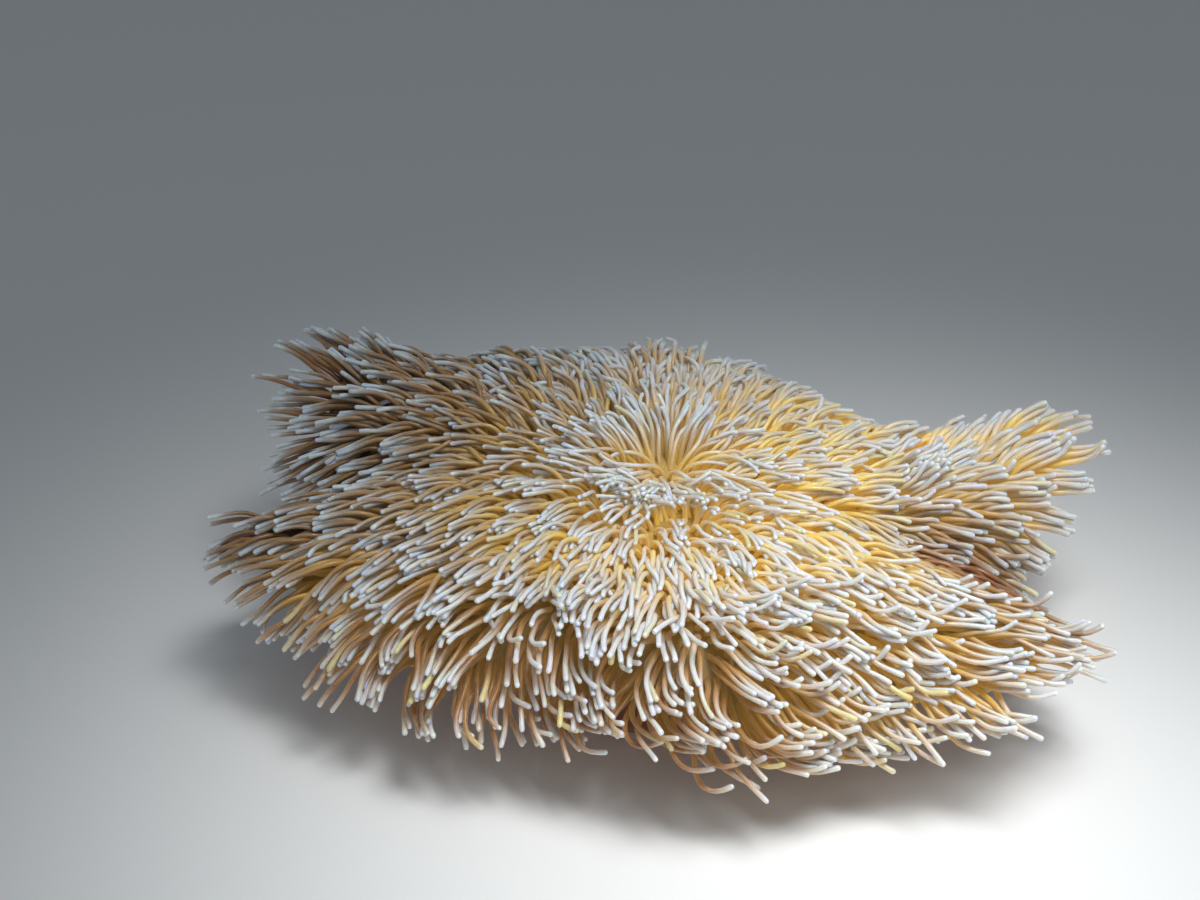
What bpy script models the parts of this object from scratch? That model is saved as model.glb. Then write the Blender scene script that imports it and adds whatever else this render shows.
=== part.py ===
"""A magnificent sea anemone, life size, at rest with its oral disc spread.

The foot stands on the ground at z = 0 and the column rises from it along +Z.  The oral disc is one
broad sheet that spreads from the mouth, above the column, out to a folded margin.  It is parted by
thin radial cuts into ten lobes round a centre.  Every lobe carries its tentacles as fingers drawn
out of the facets of its upper face and of its rim, and each finger stands for a small tuft.
Lengths are metres and fold angles are degrees.  +X is the side of the upturned fold.
"""

import math
from typing import NamedTuple

import bmesh
import bpy
import numpy as np
from mathutils import Matrix, Vector
from mathutils.bvhtree import BVHTree

# ---- driving dimensions -------------------------------------------------------------------------
CROWN_HEIGHT = 0.104  # skin of the oral disc beside the mouth
DISC_ARC = 0.150  # from the mouth to the margin, along the skin
DISC_SLOPE = 4.0  # fall of the disc outside the crown
MARGIN_SLOPE = 70.0  # fall of the last of the margin
SLOPE_REACHED = 0.30  # share of the arc at which the disc has its full slope
MARGIN_BEND = (0.55, 1.0)  # shares of the arc between which the disc turns into the margin
WAVE_SPAN = (0.40, 1.0)  # shares of the arc between which a wave dips and rises again
WAVE_LIFT = 0.6  # how much more a wave rises than it dips

CANOPY_DEPTH = 0.010  # closely packed tentacle bases over the skin
RIM_THICKNESS = 0.006  # flesh at the margin
ROOT_THICKNESS = 0.026  # flesh where a lobe joins the centre
CUT = 0.0006  # width of the cuts between the parts
CENTRE_RADII = (0.016, 0.033, 0.050)  # rings of the centre; the lobes start at the last one
COLUMN_STEP = 6.0  # degrees between the columns of facets

TENTACLE_LENGTH = (0.022, 0.048)  # beside the mouth, and at the margin
TENTACLE_LEAN = (35.0, 83.0)  # from the skin's normal towards the margin, at root and tip
TENTACLE_DROOP = 0.35  # how far weight turns the tip down
FACE_SHARE = 0.78  # lean and droop of the upper face's fingers, as a share of the rim's
UNDER_CANOPY = 0.25  # share of a tentacle that lies under the canopy
FINGER_WIDTHS = (0.0066, 0.0056, 0.0046, 0.0030)
FINGER_FIT = 0.8  # most of a narrow facet's width that a finger's root takes up
FINGER_GAP = 0.0012  # free space kept round each finger
FINGER_SHORTEST = 0.005
FINGER_TURN = 0.15  # how far a finger is turned up at a time, where its path isn't clear
FINGER_TURNS = 4  # most times that it is turned up
SHORTENINGS = 24  # most times that a finger is shortened to keep it off the others
FINGER_RISE = 0.55  # least distance from its own slab, as a share of that from its root

COLUMN_TOP_HEIGHT = 0.068
COLUMN_TOP = 0.043  # radius under the disc
COLUMN_WAIST = 0.040
COLUMN_FOOT = 0.052  # radius where the column meets the foot
COLUMN_WAIST_HEIGHT = 0.042
COLUMN_SPLIT = 0.038  # height of the cut between the two lengths of the column
FOOT_RADIUS = 0.068
FOOT_HEIGHT = 0.010
COLUMN_SIDES = 30

MOUTH_LIP = 0.0115  # radius of the lips' crest, before the mouth is drawn out sideways
MOUTH_STRETCH = (1.10, 0.80)
MOUTH_DEPTH = 0.009


class Fold(NamedTuple):
    """One fold of the margin: where it is, and what it adds to the disc's own values there."""

    angle: float
    half_width: float
    arc: float
    slope: float
    margin: float
    wave: float = 0.0


FOLDS = (
    Fold(152, 13, 0.040, -10, -68),  # upturned tuft, back left
    Fold(170, 6, -0.008, 5, 25),  # notch below it
    Fold(183, 16, 0.045, 0, -50),  # left lobe
    Fold(212, 18, 0.010, 4, -12),
    Fold(249, 26, -0.028, 5, 15),  # front, rolled under
    Fold(300, 18, 0.010, 6, 15),
    Fold(333, 14, 0.056, 4, -48),  # right front lobe
    Fold(354, 11, 0.032, 9, 0, 22),  # hollow
    Fold(16, 11, 0.084, 3, -62, 28),  # the fold that dips and rises again
    Fold(42, 18, 0.008, -3, -16),
    Fold(85, 30, 0.015, -10, -24),  # back
    Fold(128, 20, 0.018, -12, -30),
)


class Sweep(NamedTuple):
    """How the tentacles of one side are held: where, how they are pulled and how far they rise."""

    angle: float
    half_width: float
    share: float
    half_depth: float
    pull: tuple
    raised: float = 0.0


SWEEPS = (
    Sweep(250, 40, 0.80, 0.16, (0.25, -0.85, 0.60), 32),  # front ridge
    Sweep(262, 42, 1.02, 0.14, (0.95, 0.05, 0.05), 24),  # front fringe
    Sweep(300, 22, 0.90, 0.35, (0.80, 0.00, 0.10), 26),
    Sweep(328, 14, 0.95, 0.30, (0.45, 0.00, 0.20), 14),
    Sweep(346, 13, 0.78, 0.32, (0.85, -0.15, -0.25), -24),
    Sweep(358, 9, 1.00, 0.14, (0.90, 0.00, 0.35)),  # hollow
    Sweep(152, 16, 0.85, 0.45, (-0.55, 0.00, 0.10)),
    Sweep(190, 24, 0.85, 0.45, (-0.30, -0.15, -0.10)),
    Sweep(216, 14, 0.90, 0.40, (-0.30, -0.10, 0.05)),
    Sweep(80, 50, 0.85, 0.45, (0.00, 0.35, -0.40)),  # back
)


class Fan(NamedTuple):
    """Tentacles that spread away from one pinched place of the disc, and are shorter there."""

    share: float
    angle: float
    near: float
    far: float
    strength: float
    shortening: float


FANS = (
    Fan(0.73, 13, 0.012, 0.080, 0.85, 0.18),
    Fan(0.80, 155, 0.010, 0.070, 1.30, 0.0),
)
FAN_DIP = 0.35  # how steeply a fan's tentacles may point down

# Name of each lobe, the angles in degrees between which it lies, and its rows of facets.
LOBES = (
    ("lobe_right_fold", -6, 24, 6),
    ("lobe_back_right", 24, 66, 4),
    ("lobe_back", 66, 102, 4),
    ("lobe_back_left", 102, 138, 4),
    ("lobe_left_tuft", 138, 168, 5),
    ("lobe_left", 168, 204, 5),
    ("lobe_front_left", 204, 246, 4),
    ("lobe_front", 246, 282, 4),
    ("lobe_front_right", 282, 318, 4),
    ("lobe_right_front", 318, 354, 6),
)

SHEET_ROWS = 81
SHEET_COLUMNS = 360


class Finish(NamedTuple):
    """Colour (linear RGB), roughness and metallic value of a material."""

    colour: tuple
    roughness: float
    metallic: float = 0.0


FINISHES = {
    "tentacle_flesh": Finish((0.52, 0.36, 0.17), 0.40),
    "column_flesh": Finish((0.55, 0.30, 0.20), 0.50),
    "mouth_flesh": Finish((0.62, 0.48, 0.30), 0.45),
}


# ---- the disc as a sheet ------------------------------------------------------------------------
def smooth(x):
    """An even step from 0 to 1."""
    x = np.clip(x, 0, 1)
    return x * x * (3 - 2 * x)


def fold_values(angles):
    """Arc, slope, margin slope and wave of the disc at each angle, with the slopes in radians."""
    values = [np.full_like(angles, v) for v in (DISC_ARC, DISC_SLOPE, MARGIN_SLOPE, 0.0)]
    for fold in FOLDS:
        away = (np.degrees(angles) - fold.angle + 180) % 360 - 180
        share = np.exp(-((away / fold.half_width) ** 2))
        for value, more in zip(values, fold[2:]):
            value += more * share
    arc, *slopes = values
    return arc, *map(np.radians, slopes)


def disc_sheet():
    """The disc's skin, its normals and its outward directions, each as a grid of share by angle."""
    shares = np.linspace(0, 1, SHEET_ROWS)[:, None]
    angles = np.linspace(0, 2 * math.pi, SHEET_COLUMNS, endpoint=False)
    arc, slope, margin, wave = fold_values(angles)
    bend = smooth((shares - MARGIN_BEND[0]) / (MARGIN_BEND[1] - MARGIN_BEND[0]))
    turn = np.clip((shares - WAVE_SPAN[0]) / (WAVE_SPAN[1] - WAVE_SPAN[0]), 0, 1) * math.pi
    fall = slope * smooth(shares / SLOPE_REACHED) + (margin - slope) * bend
    fall += wave * (np.sin(2 * turn) - WAVE_LIFT * np.sin(turn) ** 2)

    def along(steps):
        mean = (steps[1:] + steps[:-1]) / 2
        return np.vstack([np.zeros_like(angles), np.cumsum(mean, 0)]) * arc / (SHEET_ROWS - 1)

    radius, drop = along(np.cos(fall)), along(np.sin(fall))
    skin = np.stack([radius * np.cos(angles), radius * np.sin(angles), CROWN_HEIGHT - drop], -1)
    outward = np.stack(
        [np.cos(fall) * np.cos(angles), np.cos(fall) * np.sin(angles), -np.sin(fall)], -1
    )
    normal = np.cross(outward, np.roll(skin, -1, 1) - np.roll(skin, 1, 1))
    normal[0] = (0, 0, 1)
    normal /= np.linalg.norm(normal, axis=-1, keepdims=True)
    return skin, normal, outward


SKIN, NORMAL, OUTWARD = disc_sheet()


def profile(field, degrees):
    """The values of a grid such as SKIN along one angle, from the mouth to the margin."""
    column = degrees / 360 * SHEET_COLUMNS
    low = math.floor(column)
    near, far = field[:, low % SHEET_COLUMNS], field[:, (low + 1) % SHEET_COLUMNS]
    return near + (far - near) * (column - low)


def at(field, share, degrees):
    """The value of a grid such as SKIN at a share of the arc and an angle."""
    values = profile(field, degrees)
    row = min(max(share, 0), 1) * (SHEET_ROWS - 1)
    low = min(int(row), SHEET_ROWS - 2)
    return values[low] + (values[low + 1] - values[low]) * (row - low)


def share_at(radius, degrees):
    """The share of the arc at which the skin is this far from the axis."""
    radii = np.linalg.norm(profile(SKIN, degrees)[:, :2], axis=1)
    outermost = int(np.argmax(radii)) + 1
    return float(np.interp(radius, radii[:outermost], np.linspace(0, 1, SHEET_ROWS)[:outermost]))


def across(degrees):
    """The level direction at right angles to the radius at this angle."""
    return Vector((-math.sin(math.radians(degrees)), math.cos(math.radians(degrees)), 0))


def place(share, degrees, layer):
    """A point of the disc: layer 1 is the top of the canopy and layer 0 the underside.  Both lie
    in the upright plane through the axis, so that the sides of a cut are flat."""
    skin, outward = at(SKIN, share, degrees), Vector(at(OUTWARD, share, degrees)).normalized()
    beyond = (share - share_at(CENTRE_RADII[-1], degrees)) * 1.25
    flesh = ROOT_THICKNESS + (RIM_THICKNESS - ROOT_THICKNESS) * smooth(beyond)
    rise = CANOPY_DEPTH if layer > 0.5 else -flesh
    return Vector(skin) + outward.cross(across(degrees)) * rise


def sweep_at(share, degrees):
    """The pull on the tips of the tentacles at a place, and how far they rise, in degrees."""
    pull, raised = np.zeros(3), 0.0
    for sweep in SWEEPS:
        aside = ((degrees - sweep.angle + 180) % 360 - 180) / sweep.half_width
        deep = (share - sweep.share) / sweep.half_depth
        weight = math.exp(-(aside**2) - deep**2)
        pull += weight * np.array(sweep.pull)
        raised += weight * sweep.raised
    return pull, raised


def spread_at(share, degrees):
    """The direction in which the fans spread the tentacles at a place, as long as it is strong,
    and the share of their length that the tentacles lose there."""
    spread, lost = np.zeros(3), 0.0
    for fan in FANS:
        pinch = at(SKIN, fan.share, fan.angle)
        away = at(SKIN, share, degrees) - pinch
        distance = max(np.linalg.norm(away), 1e-9)
        beyond = away[:2] @ pinch[:2] / np.linalg.norm(pinch[:2])
        weight = smooth((beyond + 0.003) / fan.near) * (1 - smooth(distance / fan.far - 0.5))
        away[2] = max(away[2], -FAN_DIP * distance)
        spread += away / distance * fan.strength * weight
        lost += fan.shortening * weight
    return spread, lost


def tentacle_directions(share, degrees, start, steps):
    """The directions in which a tentacle runs, in equal steps from a share of its length on."""
    normal, outward = at(NORMAL, share, degrees), at(OUTWARD, share, degrees)
    pull, raised = sweep_at(share, degrees)
    spread, _ = spread_at(share, degrees)
    low, high = TENTACLE_LEAN
    bent = FACE_SHARE if start else 1
    for step in range(steps):
        reached = start + (1 - start) * (step + 0.5) / steps
        lean = low + (high - low) * smooth(1.3 * reached) - raised * min(1, 2 * reached)
        lean = math.radians(lean) * bent
        run = normal * math.cos(lean) + outward * math.sin(lean)
        run += spread * (0.5 + 0.7 * reached) + pull * smooth((reached - 0.25) / 0.65)
        run[2] -= TENTACLE_DROOP * reached * bent
        yield Vector(run / np.linalg.norm(run))


# ---- fingers ------------------------------------------------------------------------------------
class Facet(NamedTuple):
    """A facet that bears a finger: its place on the disc and the finger's number of steps."""

    face: bmesh.types.BMFace
    share: float
    degrees: float
    steps: int


class Finger:
    """One tentacle tuft, which grows from a facet along a path of a few straight steps."""

    def __init__(self, bm, slab, facet):
        self.bm, self.slab, self.face = bm, slab, facet.face
        self.root = facet.face.calc_center_median()
        self.across = across(facet.degrees)
        start = 0 if facet.share == 1 else UNDER_CANOPY
        run = tentacle_directions(facet.share, facet.degrees, start, facet.steps)
        self.directions = list(run)
        near, far = TENTACLE_LENGTH
        _, lost = spread_at(facet.share, facet.degrees)
        full = near + (far - near) * smooth(facet.share / 0.7)
        self.length = full * (1 - lost) * (1 - start)
        narrowest = min(edge.calc_length() for edge in facet.face.edges)
        self.slimness = min(1, FINGER_FIT * narrowest / FINGER_WIDTHS[0])

    def points(self):
        found = [self.root]
        for run in self.directions:
            found.append(found[-1] + run * self.length / len(self.directions))
        return found

    def samples(self):
        """Points close together along the finger, for finding what it would touch."""
        points = np.array([p[:] for p in self.points()])
        return np.concatenate(
            [points[:-1] * (1 - t) + points[1:] * t for t in (0.25, 0.5, 0.75, 1.0)]
        )

    def clear_of(self, slabs):
        """Whether the finger is free of every slab, but for its own near its root."""
        for tree in slabs:
            for point in self.samples():
                from_root = (Vector(point) - self.root).length
                room = FINGER_WIDTHS[1] * self.slimness * 0.7
                if tree is self.slab:
                    room = min(room, from_root * FINGER_RISE)
                if tree.find_nearest(point)[3] < room:
                    return False
        return True

    def sound(self):
        """Whether no ring of the finger, once it is drawn out, dips below the one before it."""
        heading, step = self.face.normal, self.length / len(self.directions)
        for run, width in zip(self.directions, FINGER_WIDTHS[1:]):
            along = run.dot(heading)
            aside = math.sqrt(max(0, 1 - along**2))
            if step * along < width * self.slimness / math.sqrt(2) * aside:
                return False
            heading = run
        return self.length > FINGER_SHORTEST

    def turn_up(self):
        """Turns the path a little towards the facet's normal."""
        lift = self.face.normal * FINGER_TURN
        self.directions = [(run + lift).normalized() for run in self.directions]

    def square_root(self):
        """Insets the facet and makes the inset a square that stands across the disc's radius."""
        bmesh.ops.inset_individual(self.bm, faces=[self.face], thickness=FINGER_WIDTHS[-1] / 8)
        normal = self.face.normal
        side = (self.across - normal * self.across.dot(normal)).normalized()
        up = normal.cross(side)
        away = [vert.co - self.root for vert in self.face.verts]
        first = sum(
            (Vector((v.dot(side), v.dot(up))).normalized() @ Matrix.Rotation(k * math.pi / 2, 2)
             for k, v in enumerate(away)),
            Vector((0, 0)),
        )
        corner = (math.floor(math.atan2(first.y, first.x) / (math.pi / 2)) + 0.5) * math.pi / 2
        half_diagonal = FINGER_WIDTHS[0] * self.slimness / math.sqrt(2)
        for k, vert in enumerate(self.face.verts):
            turn = corner + k * math.pi / 2
            vert.co = self.root + (side * math.cos(turn) + up * math.sin(turn)) * half_diagonal

    def draw_out(self):
        """Draws the squared facet out along the path, narrower at each step."""
        self.square_root()
        heading = self.face.normal.copy()
        points, face = self.points(), self.face
        for k, run in enumerate(self.directions):
            face = bmesh.ops.extrude_discrete_faces(self.bm, faces=[face])["faces"][0]
            last = k == len(self.directions) - 1
            narrowing = FINGER_WIDTHS[-1 if last else k + 1] / FINGER_WIDTHS[k]
            turn = heading.rotation_difference(run)
            for vert in face.verts:
                vert.co = points[k + 1] + turn @ (vert.co - points[k]) * narrowing
            heading = run


def clear_fingers(fingers):
    """Turns fingers up and shortens them until each is free of the slabs and of the others.

    Leaves out those that stay too short, or that would pass through themselves."""
    slabs = list({id(f.slab): f.slab for f in fingers}.values())
    for finger in fingers:
        for _ in range(FINGER_TURNS):
            if finger.sound() and finger.clear_of(slabs):
                break
            finger.turn_up()
        while finger.length > FINGER_SHORTEST and not finger.clear_of(slabs):
            finger.length *= 0.85
    apart = FINGER_WIDTHS[0] + FINGER_GAP
    for _ in range(SHORTENINGS):
        clouds = [f.samples() for f in fingers]
        for i, mine in enumerate(clouds):
            for j in range(i + 1, len(clouds)):
                if np.linalg.norm(mine[-1] - clouds[j][-1]) > 3 * TENTACLE_LENGTH[1]:
                    continue
                gap = np.linalg.norm(mine[:, None] - clouds[j][None], axis=-1).min()
                if gap < apart * max(fingers[i].slimness, fingers[j].slimness):
                    longer = max(fingers[i], fingers[j], key=lambda f: f.length)
                    longer.length = max(longer.length * 0.9, FINGER_SHORTEST)
    return [finger for finger in fingers if finger.sound()]


# ---- the parts ----------------------------------------------------------------------------------
def clear_scene():
    for obj in list(bpy.data.objects):
        bpy.data.objects.remove(obj)


def material(name):
    """A Principled material with the named finish."""
    made = bpy.data.materials.get(name)
    if made is None:
        made = bpy.data.materials.new(name)
        made.use_nodes = True
        shader = made.node_tree.nodes["Principled BSDF"]
        finish = FINISHES[name]
        shader.inputs["Base Color"].default_value = (*finish.colour, 1)
        shader.inputs["Roughness"].default_value = finish.roughness
        shader.inputs["Metallic"].default_value = finish.metallic
    return made


def add_part(name, bm, finish):
    """Turns a bmesh into the named object with smooth shading."""
    mesh = bpy.data.meshes.new(name)
    bm.to_mesh(mesh)
    bm.free()
    mesh.shade_smooth()
    mesh.materials.append(material(finish))
    obj = bpy.data.objects.new(name, mesh)
    bpy.context.scene.collection.objects.link(obj)
    return obj


def lobe_share(root, row, rows):
    """The share of the arc at a row of a lobe, in even steps from its root out to the margin."""
    return root + (1 - root) * row / rows


def lobe_pattern(start, end, rows):
    """A lobe as a flat slab: x is its angle, y its row and z its layer."""
    bm = bmesh.new()
    columns = round((end - start) / COLUMN_STEP)
    bmesh.ops.create_grid(bm, x_segments=columns, y_segments=rows, size=1)
    for vert in bm.verts:
        vert.co.x = start + (vert.co.x + 1) / 2 * (end - start)
        vert.co.y = round((vert.co.y + 1) / 2 * rows)
    raised = bmesh.ops.extrude_face_region(bm, geom=bm.faces[:])["geom"]
    for item in raised:
        if isinstance(item, bmesh.types.BMVert):
            item.co.z = 1
    bmesh.ops.recalc_face_normals(bm, faces=bm.faces)
    return bm


def bend_lobe(bm, start, end, rows):
    """Carries the flat slab onto the disc, kept back from the cuts on its three inner sides."""
    for vert in bm.verts:
        degrees, row, layer = vert.co
        root = share_at(CENTRE_RADII[-1] + CUT / 2, degrees)
        vert.co = place(lobe_share(root, row, rows), degrees, layer)
        if degrees < start + 0.1:
            vert.co += across(start) * CUT / 2
        elif degrees > end - 0.1:
            vert.co -= across(end) * CUT / 2
    bmesh.ops.reverse_faces(bm, faces=bm.faces)


def lobe_facets(bm, rows):
    """The facets of the flat slab that bear fingers: all of the rim, and half of the upper face."""
    bearing = []
    for face in bm.faces:
        middle = face.calc_center_median()
        row, column = math.floor(middle.y), math.floor(middle.x / COLUMN_STEP)
        root = share_at(CENTRE_RADII[-1], middle.x)
        if middle.y > rows - 0.1:
            bearing.append(Facet(face, 1.0, middle.x, 3))
        elif middle.z > 0.9 and (row + column) % 2:
            share = lobe_share(root, middle.y, rows)
            bearing.append(Facet(face, share, middle.x, 3 if row == rows - 1 else 2))
    return bearing


def centre_pattern():
    """The centre as a flat washer: distance from the axis is the radius and z the layer."""
    bm = bmesh.new()
    outline = [(r, 0) for r in CENTRE_RADII] + [(r, 1) for r in reversed(CENTRE_RADII)]
    verts = [bm.verts.new((radius, 0, layer)) for radius, layer in outline]
    edges = [bm.edges.new(pair) for pair in zip(verts, verts[1:] + verts[:1])]
    bmesh.ops.spin(
        bm,
        geom=verts + edges,
        axis=(0, 0, 1),
        angle=2 * math.pi,
        steps=round(360 / COLUMN_STEP),
        use_merge=True,
    )
    bmesh.ops.remove_doubles(bm, verts=bm.verts, dist=1e-5)
    bmesh.ops.recalc_face_normals(bm, faces=bm.faces)
    return bm


def centre_facets(bm):
    """The facets of the washer that bear fingers."""
    bearing = []
    for face in bm.faces:
        middle = face.calc_center_median()
        degrees = math.degrees(math.atan2(middle.y, middle.x)) % 360
        row = int(middle.xy.length > CENTRE_RADII[1])
        if middle.z > 0.9 and (math.floor(degrees / COLUMN_STEP) + 2 * row) % 4 == 0:
            bearing.append(Facet(face, share_at(middle.xy.length, degrees), degrees, 2))
    return bearing


def bend_centre(bm):
    """Carries the washer onto the disc, with an upright wall round the mouth and a flat underside
    that stands on the column."""
    for vert in bm.verts:
        radius, degrees = vert.co.xy.length, math.degrees(math.atan2(vert.co.y, vert.co.x))
        inner, outer = radius < CENTRE_RADII[0] + 0.001, radius > CENTRE_RADII[-1] - 0.001
        upright, layer = vert.co.xy.copy(), vert.co.z
        radius -= CUT / 2 if outer else 0
        vert.co = place(share_at(radius, degrees), degrees, layer)
        if inner:
            vert.co.xy = upright
        if layer < 0.5 and not outer:
            vert.co.z = COLUMN_TOP_HEIGHT


def grow_disc():
    """Makes the centre and the lobes, first their slabs and then the fingers on all of them."""
    centre = centre_pattern()
    slabs = [("oral_disc_centre", centre, centre_facets(centre))]
    bend_centre(centre)
    for name, start, end, rows in LOBES:
        bm = lobe_pattern(start, end, rows)
        slabs.append((name, bm, lobe_facets(bm, rows)))
        bend_lobe(bm, start, end, rows)
    fingers = []
    for _, bm, facets in slabs:
        bm.normal_update()
        slab = BVHTree.FromBMesh(bm)
        fingers += [Finger(bm, slab, facet) for facet in facets]
    for finger in clear_fingers(fingers):
        finger.draw_out()
    for name, bm, _ in slabs:
        add_part(name, bm, "tentacle_flesh")


def turned(outline, sides, squash=lambda angle: 1.0):
    """A closed body turned from (radius, height) pairs, its first and last points on the axis."""
    bm = bmesh.new()
    verts = [bm.verts.new((radius, 0, height)) for radius, height in outline]
    edges = [bm.edges.new(pair) for pair in zip(verts, verts[1:])]
    bmesh.ops.spin(
        bm, geom=verts + edges, axis=(0, 0, 1), angle=2 * math.pi, steps=sides, use_merge=True
    )
    bmesh.ops.remove_doubles(bm, verts=bm.verts, dist=1e-5)
    for vert in bm.verts:
        vert.co.xy *= squash(math.atan2(vert.co.y, vert.co.x))
    bmesh.ops.recalc_face_normals(bm, faces=bm.faces)
    return bm


def body_outline(angle):
    """How far the column's section swells at an angle: a soft oval with a few broad furrows."""
    return 1 + 0.05 * math.cos(2 * angle + 0.6) + 0.02 * math.cos(5 * angle)


def column_radius(height):
    """Radius of the column, which narrows to a waist between the foot and the disc."""
    if height < COLUMN_WAIST_HEIGHT:
        share = smooth((height - FOOT_HEIGHT) / (COLUMN_WAIST_HEIGHT - FOOT_HEIGHT))
        return COLUMN_FOOT + (COLUMN_WAIST - COLUMN_FOOT) * share
    share = smooth((height - COLUMN_WAIST_HEIGHT) / (COLUMN_TOP_HEIGHT - COLUMN_WAIST_HEIGHT))
    return COLUMN_WAIST + (COLUMN_TOP - COLUMN_WAIST) * share


def add_column_length(name, low, high, rings):
    heights = [low + (high - low) * k / rings for k in range(rings + 1)]
    outline = [(0, low), *((column_radius(h), h) for h in heights), (0, high)]
    add_part(name, turned(outline, COLUMN_SIDES, body_outline), "column_flesh")


def add_foot():
    """The pedal disc, flat below, with an edge that spreads thinly over the ground."""
    top = FOOT_HEIGHT - CUT / 2
    outline = [
        (0, 0),
        (FOOT_RADIUS - 0.003, 0),
        (FOOT_RADIUS, 0.0018),
        (FOOT_RADIUS - 0.005, 0.0050),
        (COLUMN_FOOT + 0.003, 0.0072),
        (COLUMN_FOOT, top),
        (0, top),
    ]
    add_part("pedal_disc", turned(outline, COLUMN_SIDES, body_outline), "column_flesh")


def add_mouth():
    """The mouth: two lips round a slit, on a low cone that fills the centre's opening."""
    crest = CROWN_HEIGHT + 0.006
    side = CENTRE_RADII[0] - CUT
    outline = [
        (0, COLUMN_TOP_HEIGHT),
        (side, COLUMN_TOP_HEIGHT),
        (side, CROWN_HEIGHT - 0.001),
        (MOUTH_LIP + 0.002, CROWN_HEIGHT + 0.002),
        (MOUTH_LIP, crest),
        (MOUTH_LIP - 0.003, crest + 0.0015),
        (MOUTH_LIP - 0.006, crest - 0.002),
        (0.0012, crest - MOUTH_DEPTH),
        (0, crest - MOUTH_DEPTH - 0.001),
    ]
    bm = turned(outline, 20)
    for vert in bm.verts:
        if vert.co.z > CROWN_HEIGHT:
            vert.co.x *= MOUTH_STRETCH[0]
            vert.co.y *= MOUTH_STRETCH[1]
    add_part("mouth", bm, "mouth_flesh")


def main():
    clear_scene()
    add_foot()
    add_column_length("column_lower", FOOT_HEIGHT, COLUMN_SPLIT - CUT / 2, 3)
    add_column_length("column_upper", COLUMN_SPLIT + CUT / 2, COLUMN_TOP_HEIGHT - CUT, 3)
    grow_disc()
    add_mouth()


main()
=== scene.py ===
"""The looks of a magnificent sea anemone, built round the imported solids.

One skin runs from the throat over the oral disc, round the margin, back under the disc and down the
column to the sole of the foot.  The tentacles stand on the disc in one piece for each of its lobes.
Their centre lines start in the lie in which the living animal holds them, and a short relaxation
then lays them over each other.  Lengths are metres, angles are degrees round the axis from +X,
which is the side of the upturned fold, and a share runs from the mouth (0) to the margin (1).
"""

import logging
import math
import time
from dataclasses import dataclass, field
from enum import Enum
from typing import Any, Callable

import bpy
import numpy as np
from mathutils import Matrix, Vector
from mathutils.bvhtree import BVHTree


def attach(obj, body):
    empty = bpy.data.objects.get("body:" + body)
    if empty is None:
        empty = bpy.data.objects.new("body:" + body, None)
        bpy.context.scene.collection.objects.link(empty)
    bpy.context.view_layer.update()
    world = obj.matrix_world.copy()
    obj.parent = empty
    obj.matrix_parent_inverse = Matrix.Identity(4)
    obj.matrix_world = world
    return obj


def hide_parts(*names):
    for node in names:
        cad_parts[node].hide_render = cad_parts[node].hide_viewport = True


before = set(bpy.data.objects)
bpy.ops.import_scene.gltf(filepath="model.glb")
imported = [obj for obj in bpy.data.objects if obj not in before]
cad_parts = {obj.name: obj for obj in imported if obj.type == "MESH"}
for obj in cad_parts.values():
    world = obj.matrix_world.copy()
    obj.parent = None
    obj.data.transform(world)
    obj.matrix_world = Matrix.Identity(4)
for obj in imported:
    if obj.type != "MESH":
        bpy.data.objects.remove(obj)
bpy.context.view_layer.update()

LOG = logging.getLogger("anemone")
ASLANT = (0.31, 0.55, 0.77)    # a direction that no tentacle's root takes
BODY = "root"
BAKE_MAP = "OFBake"

Span = tuple[float, float]
Triple = tuple[float, float, float]
Outline = tuple[Span, ...]
Ramp = tuple[tuple[float, Triple], ...]
Array = np.ndarray


def smooth(x: Array | float) -> Array:
    """An even step from 0 to 1."""
    x = np.clip(x, 0, 1)
    return x * x * (3 - 2 * x)


def rise(x: Array | float, span: Span) -> Array:
    """An even step from 0 to 1 as x crosses the span."""
    return smooth((x - span[0]) / (span[1] - span[0]))


def bell(x: Array, width: float) -> Array:
    """A bell curve: 1 at 0, and about a third at the width."""
    return np.exp(-((x / width) ** 2))


def unit(vectors: Array) -> Array:
    """The vectors at length 1."""
    return vectors / np.maximum(np.linalg.norm(vectors, axis=-1, keepdims=True), 1e-12)


def lengths(vectors: Array) -> Array:
    """The length of each vector."""
    return np.linalg.norm(vectors, axis=-1)


def put(name: str, data: bpy.types.ID) -> bpy.types.Object:
    """Puts a mesh, a lamp or a camera in the scene, as an object."""
    made = bpy.data.objects.new(name, data)
    bpy.context.scene.collection.objects.link(made)
    return made


def turn_between(degrees: Array, middle: float) -> Array:
    """The turn from a middle angle to each angle, from -180 to 180 degrees."""
    return (degrees - middle + 180) % 360 - 180


def circle(degrees: Array) -> tuple[Array, Array]:
    """The x and y of the point at each angle of a circle of radius 1."""
    angle = np.radians(degrees)
    return np.cos(angle), np.sin(angle)


class Mark(Enum):
    """The numbers that are stored on the meshes for the finishes to read."""

    REACH = "reach"
    # Random paleness of each tentacle, with painted highlight and painted shade added in some
    # regions.
    TONE_AND_PAINTED_LIGHT = "tone"
    GILDING = "gilding"
    # Painted shade: how far a tentacle takes the browner colours of the side that is out of the
    # light.
    PAINTED_SHADE = "shaded"
    # Painted deep shade at the roots under the front rim and in the hollow under the fold.
    PAINTED_DEEP_SHADE = "umber"
    LIP = "lip"
    COLUMN = "column"
    WART = "wart"


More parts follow.
